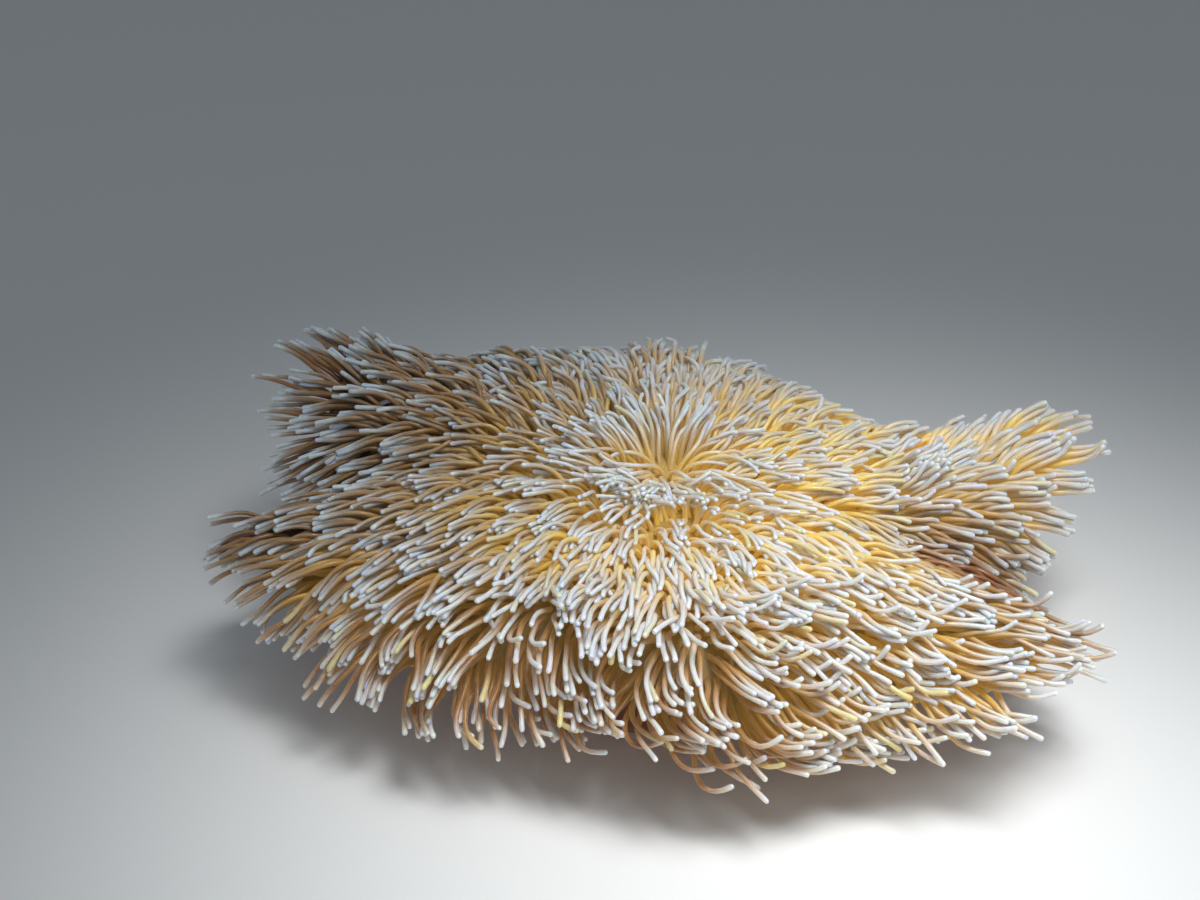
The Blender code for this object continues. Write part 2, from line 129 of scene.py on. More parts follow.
# ---- shader graphs ----
class Graph:
    """The nodes of one material."""

    def __init__(self, name: str) -> None:
        """Starts a material with a Principled shader.

        Args:
            name: The material's name.
        """
        self.material = bpy.data.materials.new(name)
        self.material.use_nodes = True
        self.tree = self.material.node_tree
        self.shader = self.tree.nodes["Principled BSDF"]

    def node(self, kind: str, settings: dict[str, Any] | None = None,
             inputs: dict[Any, Any] | None = None, output: Any = 0) -> "Socket":
        """Adds a node.

        Args:
            kind: The node's type without its ShaderNode prefix.
            settings: Attributes that are set before the sockets are.
            inputs: Values or sockets, by the name or the number of the input.
            output: The name or the number of the output.

        Returns:
            The output as a socket to calculate with.
        """
        made = self.tree.nodes.new("ShaderNode" + kind)
        for key, value in (settings or {}).items():
            if key == "stops":
                self._set_stops(made.color_ramp, value)
            else:
                setattr(made, key, value)
        for key, value in (inputs or {}).items():
            self.feed(made.inputs[key], value)
        return Socket(self, made.outputs[output])

    @staticmethod
    def _set_stops(ramp: bpy.types.ColorRamp, stops: Ramp) -> None:
        """Gives a ramp its stops."""
        while len(ramp.elements) < len(stops):
            ramp.elements.new(1.0)
        for element, (place, colour) in zip(ramp.elements, stops):
            element.position = place
            element.color = (*colour, 1)

    def feed(self, target: bpy.types.NodeSocket, value: Any) -> None:
        """Links a socket to an input, or sets the input's value."""
        if isinstance(value, Socket):
            self.tree.links.new(value.socket, target)
        elif target.type == "RGBA" and len(value) == 3:
            target.default_value = (*value, 1)
        else:
            target.default_value = value

    def math(self, operation: str, *values: Any) -> "Socket":
        """A Math node of these values."""
        return self.node("Math", {"operation": operation}, dict(enumerate(values)))

    def mix(self, factor: Any, low: Any, high: Any) -> "Socket":
        """A colour between two others, by the Mix node's numbered colour sockets."""
        return self.node("Mix", {"data_type": "RGBA"}, {0: factor, 6: low, 7: high}, 2)

    def rise(self, value: "Socket", span: Span) -> "Socket":
        """An even step from 0 to 1 as a value crosses the span."""
        settings = {"interpolation_type": "SMOOTHSTEP"}
        return self.node("MapRange", settings, {0: value, 1: span[0], 2: span[1]})

    def mark(self, mark: Mark) -> "Socket":
        """A number stored on the mesh."""
        return self.node("Attribute", {"attribute_name": mark.value}, output="Fac")

    def place(self) -> "Socket":
        """The point on the object, in metres."""
        return self.node("TexCoord", output="Object")

    def noise(self, scale: float, detail: float = 2.0) -> "Socket":
        """Cloudy noise from 0 to 1, with so many cells to the metre."""
        inputs = {"Vector": self.place(), "Scale": scale, "Detail": detail}
        return self.node("TexNoise", inputs=inputs)

    def bump(self, height: "Socket", strength: float, distance: float) -> "Socket":
        """A surface that the height roughens, by so many metres."""
        inputs = {"Strength": strength, "Distance": distance, "Height": height}
        return self.node("Bump", inputs=inputs)

    def finish(self, **inputs: Any) -> bpy.types.Material:
        """Feeds the shader.

        Args:
            **inputs: Values or sockets by the shader's own input names, with _ for a space.

        Returns:
            The finished material.
        """
        for key, value in inputs.items():
            self.feed(self.shader.inputs[key.replace("_", " ")], value)
        return self.material


def _operator(operation: str, reflected: bool = False) -> Callable[["Socket", Any], "Socket"]:
    """An operator of sockets that makes one Math node.

    Args:
        operation: The Math node's operation.
        reflected: Whether the socket stands on the right of the operator.

    Returns:
        The operator's method.
    """

    def apply(self: "Socket", other: Any) -> "Socket":
        """The result of the operation."""
        return self.graph.math(operation, *((other, self) if reflected else (self, other)))

    return apply


class Socket:
    """A shader output that takes part in arithmetic."""

    def __init__(self, graph: Graph, socket: bpy.types.NodeSocket) -> None:
        """Wraps an output of a node of the graph."""
        self.graph, self.socket = graph, socket

    __add__, __radd__ = _operator("ADD"), _operator("ADD", reflected=True)
    __sub__, __rsub__ = _operator("SUBTRACT"), _operator("SUBTRACT", reflected=True)
    __mul__, __rmul__ = _operator("MULTIPLY"), _operator("MULTIPLY", reflected=True)


# ---- finishes ----
@dataclass(frozen=True)
class TentacleFinish:
    """Translucent flesh: amber at the root, pale lilac along the shaft and white at the tip, where
    a painted glint is added.

    Shade is painted in: the left and back of the disc, the hanging fringe and the hollow under the
    fold are browner, and pale only at the tips.  A painted amber emission near the roots stands in
    for light passing through the flesh.
    """

    golden: Ramp = (
        (0.18, (0.82, 0.56, 0.11)),
        (0.42, (0.77, 0.60, 0.26)),
        (0.64, (0.70, 0.60, 0.48)),
        (0.84, (0.70, 0.64, 0.60)),
        (1.00, (0.74, 0.72, 0.71)),
    )
    # Painted shade: a browner copy of the golden ramp, for the tentacles that are out of the light.
    painted_shade_brown: Ramp = (
        (0.20, (0.21, 0.095, 0.024)),
        (0.45, (0.27, 0.150, 0.056)),
        (0.68, (0.31, 0.220, 0.135)),
        (0.86, (0.40, 0.38, 0.37)),
        (0.97, (0.60, 0.66, 0.70)),
    )
    # Painted deep shade: dark roots under the front rim and in the hollow under the fold, where
    # light from above does not reach.
    umber: Triple = (0.27, 0.115, 0.050)
    # White tips: partly the tips' own pale colour and partly a painted glint.
    bead_and_painted_glint: Triple = (0.86, 0.91, 0.95)
    gilt: Triple = (0.74, 0.60, 0.27)
    # Painted light: an amber emission near the roots that stands in for light passing through the
    # flesh; the tentacles are no lamp.
    painted_glow: Triple = (0.70, 0.46, 0.09)
    painted_glow_strength: float = 0.25
    roughness: float = 0.34
    tone_shift: float = 0.24
    mottle_shift: float = 0.10
    painted_deep_shade_end: Span = (0.42, 0.95)
    gilt_start: Span = (0.45, 0.85)
    bead_glint_start: Span = (0.93, 0.99)
    bead_glint_strength: float = 0.85
    painted_glow_end: Span = (0.25, 0.80)

    def material(self) -> bpy.types.Material:
        """Makes the tentacles' material."""
        graph = Graph("tentacle_flesh")
        reach, tone = graph.mark(Mark.REACH), graph.mark(Mark.TONE_AND_PAINTED_LIGHT)
        shaded, umber = graph.mark(Mark.PAINTED_SHADE), graph.mark(Mark.PAINTED_DEEP_SHADE)
        shifted = reach + (tone - 0.5) * self.tone_shift
        shifted += (graph.noise(220.0) - 0.5) * self.mottle_shift
        golden = graph.node("ValToRGB", {"stops": self.golden}, {0: shifted})
        painted_shade_brown = graph.node("ValToRGB", {"stops": self.painted_shade_brown}, {0: shifted})
        # Painted deep shade darkens the roots, and the painted shade then takes the browner ramp.
        rooted = umber * (1 - graph.rise(shifted, self.painted_deep_shade_end))
        flesh = graph.mix(rooted, graph.mix(shaded, golden, painted_shade_brown), self.umber)
        gilded = graph.mark(Mark.GILDING) * graph.rise(reach, self.gilt_start) * (1 - shaded)
        # The white tips, partly a painted glint, are halved in painted deep shade.
        beaded_glint = graph.rise(reach, self.bead_glint_start) * (1 - gilded) * self.bead_glint_strength
        beaded_glint *= 1 - umber * 0.5
        colour = graph.mix(beaded_glint, graph.mix(gilded, flesh, self.gilt), self.bead_and_painted_glint)
        # Painted light: the amber emission on the lower shafts, off in painted shade and weaker in
        # painted deep shade.
        lit = (1 - shaded) * (1 - umber * 0.75) * (1 - graph.rise(reach, self.painted_glow_end))
        painted_glow = graph.mix(lit, (0, 0, 0), self.painted_glow)
        grain = graph.noise(1800.0, 3.0)
        return graph.finish(
            Base_Color=colour,
            Roughness=self.roughness + grain * 0.12,
            Normal=graph.bump(grain, 0.25, 0.0002),
            Subsurface_Weight=1.0,
            Subsurface_Radius=(1.0, 0.65, 0.30),
            Subsurface_Scale=0.006,
            Coat_Weight=0.25,
            Coat_Roughness=0.18,
            Sheen_Weight=0.5,
            Sheen_Roughness=0.35,
            Sheen_Tint=(0.92, 0.93, 1.0),
            Emission_Color=painted_glow,
            Emission_Strength=self.painted_glow_strength,
        )


@dataclass(frozen=True)
class SkinFinish:
    """The body's own skin: amber on the disc's face, rosy tan with pale warts on the column.

    Soft lines run out from the axis on both, evenly spread round it.
    """

    face: Triple = (0.50, 0.33, 0.09)
    face_line: Triple = (0.54, 0.38, 0.14)
    column: Triple = (0.56, 0.30, 0.19)
    column_deep: Triple = (0.40, 0.17, 0.10)
    wart: Triple = (0.80, 0.66, 0.54)
    lip: Triple = (0.58, 0.45, 0.24)
    roughness: float = 0.42
    disc_lines: int = 96
    column_lines: int = 48
    line_edge: Span = (-0.2, 0.9)

    def material(self) -> bpy.types.Material:
        """Makes the skin's material."""
        graph = Graph("body_flesh")
        x, y = (graph.node("SeparateXYZ", inputs={0: graph.place()}, output=k) for k in (0, 1))
        angle = graph.math("ARCTAN2", y, x)
        disc_line, column_line = (
            graph.rise(graph.math("SINE", angle * count), self.line_edge)
            for count in (self.disc_lines, self.column_lines)
        )
        face = graph.mix(disc_line * 0.7, self.face, self.face_line)
        lit = column_line * 0.5 + graph.noise(60.0, 4.0) * 0.5
        column = graph.mix(lit, self.column_deep, self.column)
        warts = graph.mix(graph.mark(Mark.WART), column, self.wart)
        body = graph.mix(graph.mark(Mark.COLUMN), face, warts)
        colour = graph.mix(graph.mark(Mark.LIP), body, self.lip)
        grain = graph.noise(900.0, 3.0)
        return graph.finish(
            Base_Color=colour,
            Roughness=self.roughness + grain * 0.15,
            Normal=graph.bump(grain, 0.3, 0.0004),
            Subsurface_Weight=0.30,
            Subsurface_Radius=(1.0, 0.45, 0.25),
            Subsurface_Scale=0.004,
            Coat_Weight=0.2,
            Coat_Roughness=0.2,
        )


@dataclass(frozen=True)
class FloorFinish:
    """A plain pale floor."""

    colour: Triple = (0.86, 0.86, 0.84)
    cloudy: Triple = (0.80, 0.80, 0.79)
    roughness: float = 0.8

    def material(self) -> bpy.types.Material:
        """Makes the floor's material."""
        graph = Graph("studio_floor")
        colour = graph.mix(graph.noise(6.0) * 0.1, self.colour, self.cloudy)
        return graph.finish(Base_Color=colour, Roughness=self.roughness)


# ---- the body ----
@dataclass(frozen=True)
class Fold:
    """One fold of the margin: where it is, and what it adds to the disc's own values there."""

    angle: float
    half_width: float
    arc: float
    slope: float
    margin: float
    wave: float = 0.0


@dataclass
class Disc:
    """The oral disc as a sheet that spreads from the mouth and rises, falls and folds outward."""

    crown_height: float = 0.104
    arc: float = 0.150
    slope: float = 4.0
    margin: float = 70.0
    slope_reached: float = 0.30
    margin_bend: Span = (0.55, 1.0)
    wave_span: Span = (0.40, 1.0)
    wave_lift: float = 0.6
    rim_thickness: float = 0.0056
    root_thickness: float = 0.0255
    thinning: float = 0.8
    root_radius: float = 0.050
    folds: tuple[Fold, ...] = (
        Fold(152, 13, 0.040, -10, -68),
        Fold(170, 6, -0.008, 5, 25),
        Fold(183, 16, 0.045, 0, -50),
        Fold(212, 18, 0.010, 4, -12),
        Fold(249, 26, -0.028, 5, 15),
        Fold(300, 18, 0.010, 6, 15),
        Fold(333, 14, 0.056, 4, -48),
        Fold(354, 11, 0.032, 9, 0, 22),
        Fold(16, 11, 0.084, 3, -62, 28),
        Fold(42, 18, 0.008, -3, -16),
        Fold(85, 30, 0.015, -10, -24),
        Fold(128, 20, 0.018, -12, -30),
    )
    rows: int = 161
    columns: int = 720
    skin: Array = field(init=False)
    normal: Array = field(init=False)
    outward: Array = field(init=False)

    def __post_init__(self) -> None:
        """Works out the sheet's points, normals and outward directions, share by angle."""
        shares = np.linspace(0, 1, self.rows)[:, None]
        angles = np.linspace(0, 2 * math.pi, self.columns, endpoint=False)
        arc, slope, margin, wave = self._values(angles)
        bend = rise(shares, self.margin_bend)
        low, high = self.wave_span
        turn = np.clip((shares - low) / (high - low), 0, 1) * math.pi
        fall = slope * smooth(shares / self.slope_reached) + (margin - slope) * bend
        fall += wave * (np.sin(2 * turn) - self.wave_lift * np.sin(turn) ** 2)
        radius = self._along(np.cos(fall)) * arc
        drop = self._along(np.sin(fall)) * arc
        x, y = np.cos(angles), np.sin(angles)
        self.skin = np.stack([radius * x, radius * y, self.crown_height - drop], -1)
        self.outward = np.stack([np.cos(fall) * x, np.cos(fall) * y, -np.sin(fall)], -1)
        across = np.roll(self.skin, -1, 1) - np.roll(self.skin, 1, 1)
        self.normal = np.cross(self.outward, across)
        self.normal[0] = (0, 0, 1)
        self.normal = unit(self.normal)

    def _values(self, angles: Array) -> tuple[Array, ...]:
        """Arc, slope, margin slope and wave at each angle, with the slopes in radians."""
        values = [np.full_like(angles, v) for v in (self.arc, self.slope, self.margin, 0.0)]
        for fold in self.folds:
            share = bell(turn_between(np.degrees(angles), fold.angle), fold.half_width)
            for value, more in zip(values, (fold.arc, fold.slope, fold.margin, fold.wave)):
                value += more * share
        arc, *slopes = values
        return arc, *map(np.radians, slopes)

    @staticmethod
    def _along(steps: Array) -> Array:
        """The sums of a grid's rows, as lengths along an arc of length 1."""
        mean = (steps[1:] + steps[:-1]) / 2
        sums = np.cumsum(mean, 0) / len(mean)
        return np.vstack([np.zeros_like(sums[:1]), sums])

    def read(self, grid: Array, shares: Array, degrees: Array) -> Array:
        """Reads one of the sheet's grids between its points.

        Args:
            grid: One of skin, normal and outward.
            shares: The shares of the arc.
            degrees: The angles, as many as the shares.

        Returns:
            One row of three numbers for each place.
        """
        row = np.clip(shares, 0, 1) * (self.rows - 1)
        low = np.minimum(row.astype(int), self.rows - 2)
        column = degrees % 360 / 360 * self.columns
        left = column.astype(int) % self.columns
        right = (left + 1) % self.columns
        down, aside = (row - low)[..., None], (column - np.floor(column))[..., None]
        near = grid[low, left] * (1 - aside) + grid[low, right] * aside
        far = grid[low + 1, left] * (1 - aside) + grid[low + 1, right] * aside
        return near * (1 - down) + far * down

    def share_at(self, radius: float, degrees: Array) -> Array:
        """The share of the arc at which the skin is this far from the axis, at each angle."""
        shares = np.linspace(0, 1, self.rows)
        found = []
        for angle in np.atleast_1d(degrees):
            line = self.read(self.skin, shares, np.full(self.rows, float(angle)))
            radii = lengths(line[:, :2])
            last = int(np.argmax(radii)) + 1
            found.append(np.interp(radius, radii[:last], shares[:last]))
        return np.array(found)

    def under(self, shares: Array, degrees: Array, root: Array) -> Array:
        """Points on the underside of the disc.

        Args:
            shares: The shares of the arc.
            degrees: The angles.
            root: The share at each angle at which the disc leaves the centre.

        Returns:
            The points, in the upright plane of each angle.
        """
        skin, outward = (self.read(g, shares, degrees) for g in (self.skin, self.outward))
        x, y = circle(degrees)
        across = np.stack([-y, x, np.zeros_like(x)], -1)
        thinned = smooth((shares - root) / self.thinning)
        flesh = self.root_thickness - (self.root_thickness - self.rim_thickness) * thinned
        return skin - np.cross(unit(outward), across) * flesh[..., None]


def add_tubes(name: str, rings: Array, ends: Array, marks: dict[Mark, Array],
              patches: Array, patch: float, inward: bool = False) -> bpy.types.Object:
    """Makes closed tubes in one mesh, each with a patch of its own on the map for baking.

    A patch is the unrolled tube: once round is its width, and first end to last its height.

    Args:
        name: The name of the object and its mesh.
        rings: The points, as tube by ring by side by three.
        ends: The two points that close each tube.
        marks: The value of each mark on the rings' points, or what spreads to as many.
        patches: The middle of each tube's patch.
        patch: The width of a patch.
        inward: Whether the rings run round the other way, so that the faces have to be turned.

    Returns:
        The object.
    """
    count, rows, sides, _ = rings.shape
    each = rows * sides + 2
    side, row = np.arange(sides), np.arange(rows - 1)[:, None]

    def corner(level: Array | int, aside: int) -> Array:
        """The point's number and its place on the patch, for one corner of the faces."""
        number = level * sides + (side + aside) % sides
        place = (side + aside) / sides, (level + 0.5) / rows
        return np.stack(np.broadcast_arrays(number, *place), -1)

    def end(number: int, height: float) -> Array:
        """The same for the corner that all the faces at one end share."""
        return np.stack(np.broadcast_arrays(number, (side + 0.5) / sides, height), -1)

    faces = [
        (corner(row, 0), corner(row, 1), corner(row + 1, 1), corner(row + 1, 0)),
        (end(each - 2, 0.0), corner(0, 1), corner(0, 0)),
        (end(each - 1, 1.0), corner(rows - 1, 0), corner(rows - 1, 1)),
    ]
    if inward:
        faces = [(first, *rest[::-1]) for first, *rest in faces]
    corners = np.concatenate([np.stack(face, -2).reshape(-1, 3) for face in faces])
    sizes = np.repeat([4, 3, 3], [(rows - 1) * sides, sides, sides])
    numbers = np.arange(count)[:, None] * each + corners[:, 0].astype(int)
    places = patches[:, None] + (corners[:, 1:] - 0.5) * patch
    mesh = bpy.data.meshes.new(name)
    mesh.vertices.add(count * each)
    mesh.loops.add(numbers.size)
    mesh.polygons.add(count * len(sizes))
    points = np.concatenate([rings.reshape(count, -1, 3), ends], 1)
    starts = np.cumsum(np.tile(sizes, count)) - np.tile(sizes, count)
    mesh.vertices.foreach_set("co", points.astype(np.float32).ravel())
    mesh.loops.foreach_set("vertex_index", numbers.astype(np.int32).ravel())
    mesh.polygons.foreach_set("loop_start", starts.astype(np.int32))
    mesh.update(calc_edges=True)
    for mark, values in marks.items():
        full = np.broadcast_to(values, rings.shape[:3]).reshape(count, -1)
        full = np.concatenate([full, full[:, :1], full[:, -1:]], 1).astype(np.float32)
        mesh.attributes.new(mark.value, "FLOAT", "POINT").data.foreach_set("value", full.ravel())
    unrolled = mesh.uv_layers.new(name=BAKE_MAP)
    unrolled.data.foreach_set("uv", places.astype(np.float32).ravel())
    mesh.shade_smooth()
    mesh.validate()
    return put(name, mesh)


@dataclass
class Skin:
    """The body in one closed skin, from the throat round to the sole of the foot.

    An outline is the radius and the height of each of its rings, from the inside or the top.
    """

    disc: Disc
    finish: SkinFinish = SkinFinish()
    columns: int = 360
    face_rows: int = 84
    under_rows: int = 44
    margin_rows: int = 5
    margin_bulge: float = 0.8
    column_rows: int = 62
    centre_radius: float = 0.0160
    lips: Outline = (
        (0.0006, -0.0030), (0.0022, -0.0018), (0.0040, 0.0005), (0.0058, 0.00198),
        (0.0075, 0.004356), (0.0093, 0.006138), (0.0113, 0.0066), (0.0128, 0.005544),
        (0.0142, 0.003168), (0.0153, 0.001056),
    )
    lip_stretch: Span = (1.10, 0.80)
    lip_rise: float = 0.0066
    lip_pleats: int = 26
    pleat_depth: float = 0.045
    pleat_rise: float = 0.0004
    neck: Outline = ((0.0480, 0.0760), (0.0455, 0.0715), (0.0437, 0.0685))
    neck_radius: float = 0.0430
    neck_height: float = 0.0660
    waist_radius: float = 0.0396
    waist_height: float = 0.0420
    ankle_radius: float = 0.0516
    foot: Outline = (
        (0.0546, 0.0070), (0.0591, 0.0058), (0.0631, 0.0046), (0.0664, 0.0032), (0.0676, 0.0018),
        (0.0668, 0.0005), (0.0646, 0.0), (0.044616, 0.0), (0.022308, 0.0), (0.0010, 0.0),
    )
    foot_height: float = 0.0100
    swellings: tuple[tuple[int, float, float], ...] = ((2, 0.05, 0.6), (5, 0.02, 0.0))
    crease_depth: float = 0.006
    crease_step: float = 0.0042
    crease_from: float = 0.008
    wart_rows: int = 30
    wart_step: float = 0.0058
    wart_rise: float = 0.0005
    wart_width: float = 0.0013
    wart_edge: float = 1.35
    wart_from: float = 0.009
    map_width: float = 0.996

    def _mouth(self, degrees: Array) -> Array:
        """Pleated lips round a slit, and the wall that goes down into the throat."""
        x, y = circle(degrees)
        pleats = np.cos(self.lip_pleats * np.radians(degrees))
        rows = []
        for radius, height in self.lips:
            raised = max(height, 0) / self.lip_rise
            around = radius * (1 + self.pleat_depth * raised * pleats)
            wide, deep = (1 + (s - 1) * min(1, 2 * raised + 0.4) for s in self.lip_stretch)
            level = self.disc.crown_height + height + self.pleat_rise * raised * pleats
            rows.append(np.stack([around * wide * x, around * deep * y, level], -1))
        return np.array(rows)

    def _face(self, degrees: Array) -> Array:
        """The disc's upper face, from round the lips out to the margin."""
        start = self.disc.share_at(self.centre_radius, degrees)
        shares = start + (1 - start) * np.linspace(0, 1, self.face_rows)[:, None]
        return self.disc.read(self.disc.skin, shares, np.broadcast_to(degrees, shares.shape))

    def _margin(self, degrees: Array, root: Array) -> Array:
        """The rounded edge between the two faces of the disc."""
        ones = np.ones_like(degrees)
        top = self.disc.read(self.disc.skin, ones, degrees)
        out = self.disc.read(self.disc.outward, ones, degrees)
        bottom = self.disc.under(ones, degrees, root)
        middle, half = (top + bottom) / 2, (top - bottom) / 2
        bulge = lengths(half)[:, None] * self.margin_bulge
        turns = np.linspace(0, math.pi, self.margin_rows + 2)[1:-1]
        return np.array([middle + half * math.cos(t) + out * bulge * math.sin(t) for t in turns])

    def _under(self, degrees: Array, root: Array) -> Array:
        """The disc's underside, from the margin back to the centre."""
        shares = root + (1 - root) * np.linspace(1, 0, self.under_rows)[:, None]
        return self.disc.under(shares, np.broadcast_to(degrees, shares.shape), root)

    def _column(self, degrees: Array) -> Array:
        """The column from under the disc to the foot, the foot's edge and the sole."""
        heights = np.linspace(self.neck_height, self.foot_height, self.column_rows)
        below = rise(heights, (self.foot_height, self.waist_height))
        above = rise(heights, (self.waist_height, self.neck_height))
        radii = self.ankle_radius + (self.waist_radius - self.ankle_radius) * below
        radii += (self.neck_radius - self.waist_radius) * above
        x, y = circle(degrees)
        outline = 1 + sum(
            swell * np.cos(count * np.radians(degrees) + phase)
            for count, swell, phase in self.swellings
        )
        rows = []
        for radius, height in (*self.neck, *zip(radii, heights), *self.foot):
            crease = self.crease_depth * math.sin(height * 2 * math.pi / self.crease_step)
            around = radius * outline * (1 + crease * (height > self.crease_from))
            rows.append(np.stack([around * x, around * y, np.full_like(x, height)], -1))
        return np.array(rows)

    def _raise_warts(self, rings: Array, body: Array) -> tuple[Array, Array]:
        """Raises the column's rows of sticky warts.

        Args:
            rings: The skin's rings.
            body: Which of the rings bear warts.

        Returns:
            The rings with their warts, and how much of a wart each point is.
        """
        across = np.roll(rings, -1, 1) - np.roll(rings, 1, 1)
        down = np.gradient(rings, axis=0)
        length = np.cumsum(lengths(down).mean(1))
        turns = np.arange(self.columns) / self.columns * self.wart_rows
        line = np.round(turns)
        aside = (turns - line) * (lengths(across) / 2) * (self.columns / self.wart_rows)
        stagger = (line % 2) * self.wart_step / 2
        along = (length[:, None] + stagger) % self.wart_step - self.wart_step / 2
        away = np.hypot(along, aside) / self.wart_width
        wart = smooth(self.wart_edge - away) * ((rings[..., 2] > self.wart_from) & body[:, None])
        return rings + unit(np.cross(across, down)) * (wart * self.wart_rise)[..., None], wart

    def build(self) -> bpy.types.Object:
        """Makes the skin with its marks and its map for baking.

        Returns:
            The skin's object.
        """
        degrees = np.arange(self.columns) * 360 / self.columns
        root = self.disc.share_at(self.disc.root_radius, degrees)
        lips, face = self._mouth(degrees), self._face(degrees)
        margin, under = self._margin(degrees, root), self._under(degrees, root)
        rings = np.concatenate([lips, face, margin, under, self._column(degrees)])
        row = np.arange(len(rings))
        body = row >= len(lips) + len(face) + len(margin)
        rings, wart = self._raise_warts(rings, body)
        marks = {
            Mark.LIP: (row < len(lips))[:, None],
            Mark.COLUMN: body[:, None],
            Mark.WART: wart,
        }
        ends = rings[[0, -1]].mean(1)
        middle = np.array([[0.5, 0.5]])
        return add_tubes("skin", rings[None], ends[None], marks, middle, self.map_width, True)

    def dress(self, skin: bpy.types.Object) -> None:
        """Gives the skin its finish and its place in the frame."""
        skin.data.materials.append(self.finish.material())
        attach(skin, BODY)
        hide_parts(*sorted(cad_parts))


# ---- the tentacles ----
@dataclass(frozen=True)
class Region:
    """A part of the disc with soft edges."""

    angle: float
    half_width: float
    share: float
    half_depth: float

    def weight(self, shares: Array, degrees: Array) -> Array:
        """How far each place of the disc is in the region, from 0 to 1."""
        aside = bell(turn_between(degrees, self.angle), self.half_width)
        return aside * bell(shares - self.share, self.half_depth)


@dataclass(frozen=True)
class Sweep(Region):
    """How the tentacles of one side are held: a pull that grows towards their tips."""

    pull: Triple
    hooked: float = 0.0
    raised: float = 0.0


SWEEPS = (
    Sweep(250, 40, 0.80, 0.16, (0.25, -0.85, 0.60), 0.25, 32),
    Sweep(262, 42, 1.02, 0.14, (0.95, 0.05, 0.05), 0.55, 24),
    Sweep(300, 22, 0.90, 0.35, (0.80, 0.00, 0.10), 0.55, 26),
    Sweep(328, 14, 0.95, 0.30, (0.45, 0.00, 0.20), 0.35, 14),
    Sweep(346, 13, 0.78, 0.32, (0.85, -0.15, -0.40), 0.00, -34),
    Sweep(358, 9, 1.00, 0.14, (0.90, 0.00, 0.35)),
    Sweep(14, 12, 0.58, 0.10, (-0.15, 0.00, 0.90), 0.00, 34),
    Sweep(16, 14, 0.96, 0.16, (0.00, 0.00, 0.00), 0.35),
    Sweep(152, 16, 0.85, 0.45, (-0.55, 0.00, 0.10)),
    Sweep(190, 24, 0.85, 0.45, (-0.30, -0.15, -0.10)),
    Sweep(216, 14, 0.90, 0.40, (-0.30, -0.10, 0.05)),
    Sweep(80, 50, 0.85, 0.45, (0.00, 0.35, -0.40)),
    Sweep(192, 34, 0.34, 0.20, (0.00, -0.80, 0.00)),
)


@dataclass(frozen=True)
class Fan:
    """Tentacles that spread away from one pinched place of the disc."""

    share: float
    angle: float
    near: float
    far: float
    strength: float
    shortening: float = 0.0
    dip: float = 0.35
    back: float = 0.003

    def pull(self, disc: Disc, places: Array) -> tuple[Array, Array]:
        """The pull on the tentacles rooted at these places.

        Args:
            disc: The disc that they stand on.
            places: Where their roots are.

        Returns:
            One direction for each, as long as the pull is strong, and the share of its length
            that each tentacle loses.
        """
        pinch = disc.read(disc.skin, np.array([self.share]), np.array([self.angle]))
        away = places - pinch
        distance = np.maximum(lengths(away), 1e-9)
        beyond = away @ unit(pinch[0] * (1, 1, 0))
        weight = rise(beyond, (-self.back, self.near - self.back))
        weight = weight * (1 - smooth(distance / self.far - 0.5))
        away[:, 2] = np.maximum(away[:, 2], -self.dip * distance)
        pull = away / distance[:, None] * (self.strength * weight)[:, None]
        return pull, self.shortening * weight


FANS = (
    Fan(0.73, 13, 0.012, 0.080, 0.85, 0.18),
    Fan(0.80, 155, 0.010, 0.070, 1.30),
)


@dataclass(frozen=True)
class Trend:
    """A number that goes from its first value to its last over a span."""

    first: float
    last: float
    span: Span

    def at(self, x: Array | float) -> Array:
        """The number at x."""
        return self.first + (self.last - self.first) * rise(x, self.span)


# Each piece of the tentacles round the disc, and the angle where its roots end and the next begins.
LOBES = (
    ("right_fold", 24), ("back_right", 66), ("back", 102), ("back_left", 138), ("left_tuft", 168),
    ("left", 204), ("front_left", 246), ("front", 282), ("front_right", 318), ("right_front", 354),
)


def close_pairs(points: Array, owners: Array, reach: float) -> tuple[Array, Array]:
    """Finds the points that are close to a point of another owner.

    Args:
        points: The points.
        owners: Whose each point is.
        reach: How far apart the points of a pair may be.

    Returns:
        The numbers of the first and of the second point of each pair.
    """
    cell = np.floor((points - points.min(0)) / reach).astype(np.int64) + 1
    size = cell.max(0) + 2
    key = (cell[:, 0] * size[1] + cell[:, 1]) * size[2] + cell[:, 2]
    order = np.argsort(key, kind="stable")
    ordered = key[order]
    # The second half of the 27 cells round a point's own, which finds each pair once.
    steps = [(x, y, z) for x in (-1, 0, 1) for y in (-1, 0, 1) for z in (-1, 0, 1)]
    firsts, seconds = [], []
    for x, y, z in steps[13:]:
        target = key + (x * size[1] + y) * size[2] + z
        low = np.searchsorted(ordered, target, "left")
        count = np.searchsorted(ordered, target, "right") - low
        first = np.repeat(np.arange(len(points)), count)
        within = np.arange(count.sum()) - np.repeat(np.cumsum(count) - count, count)
        second = order[np.repeat(low, count) + within]
        keep = owners[first] != owners[second]
        if (x, y, z) == (0, 0, 0):
            keep &= first < second
        firsts.append(first[keep])
        seconds.append(second[keep])
    first, second = np.concatenate(firsts), np.concatenate(seconds)
    keep = lengths(points[first] - points[second]) < reach
    return first[keep], second[keep]


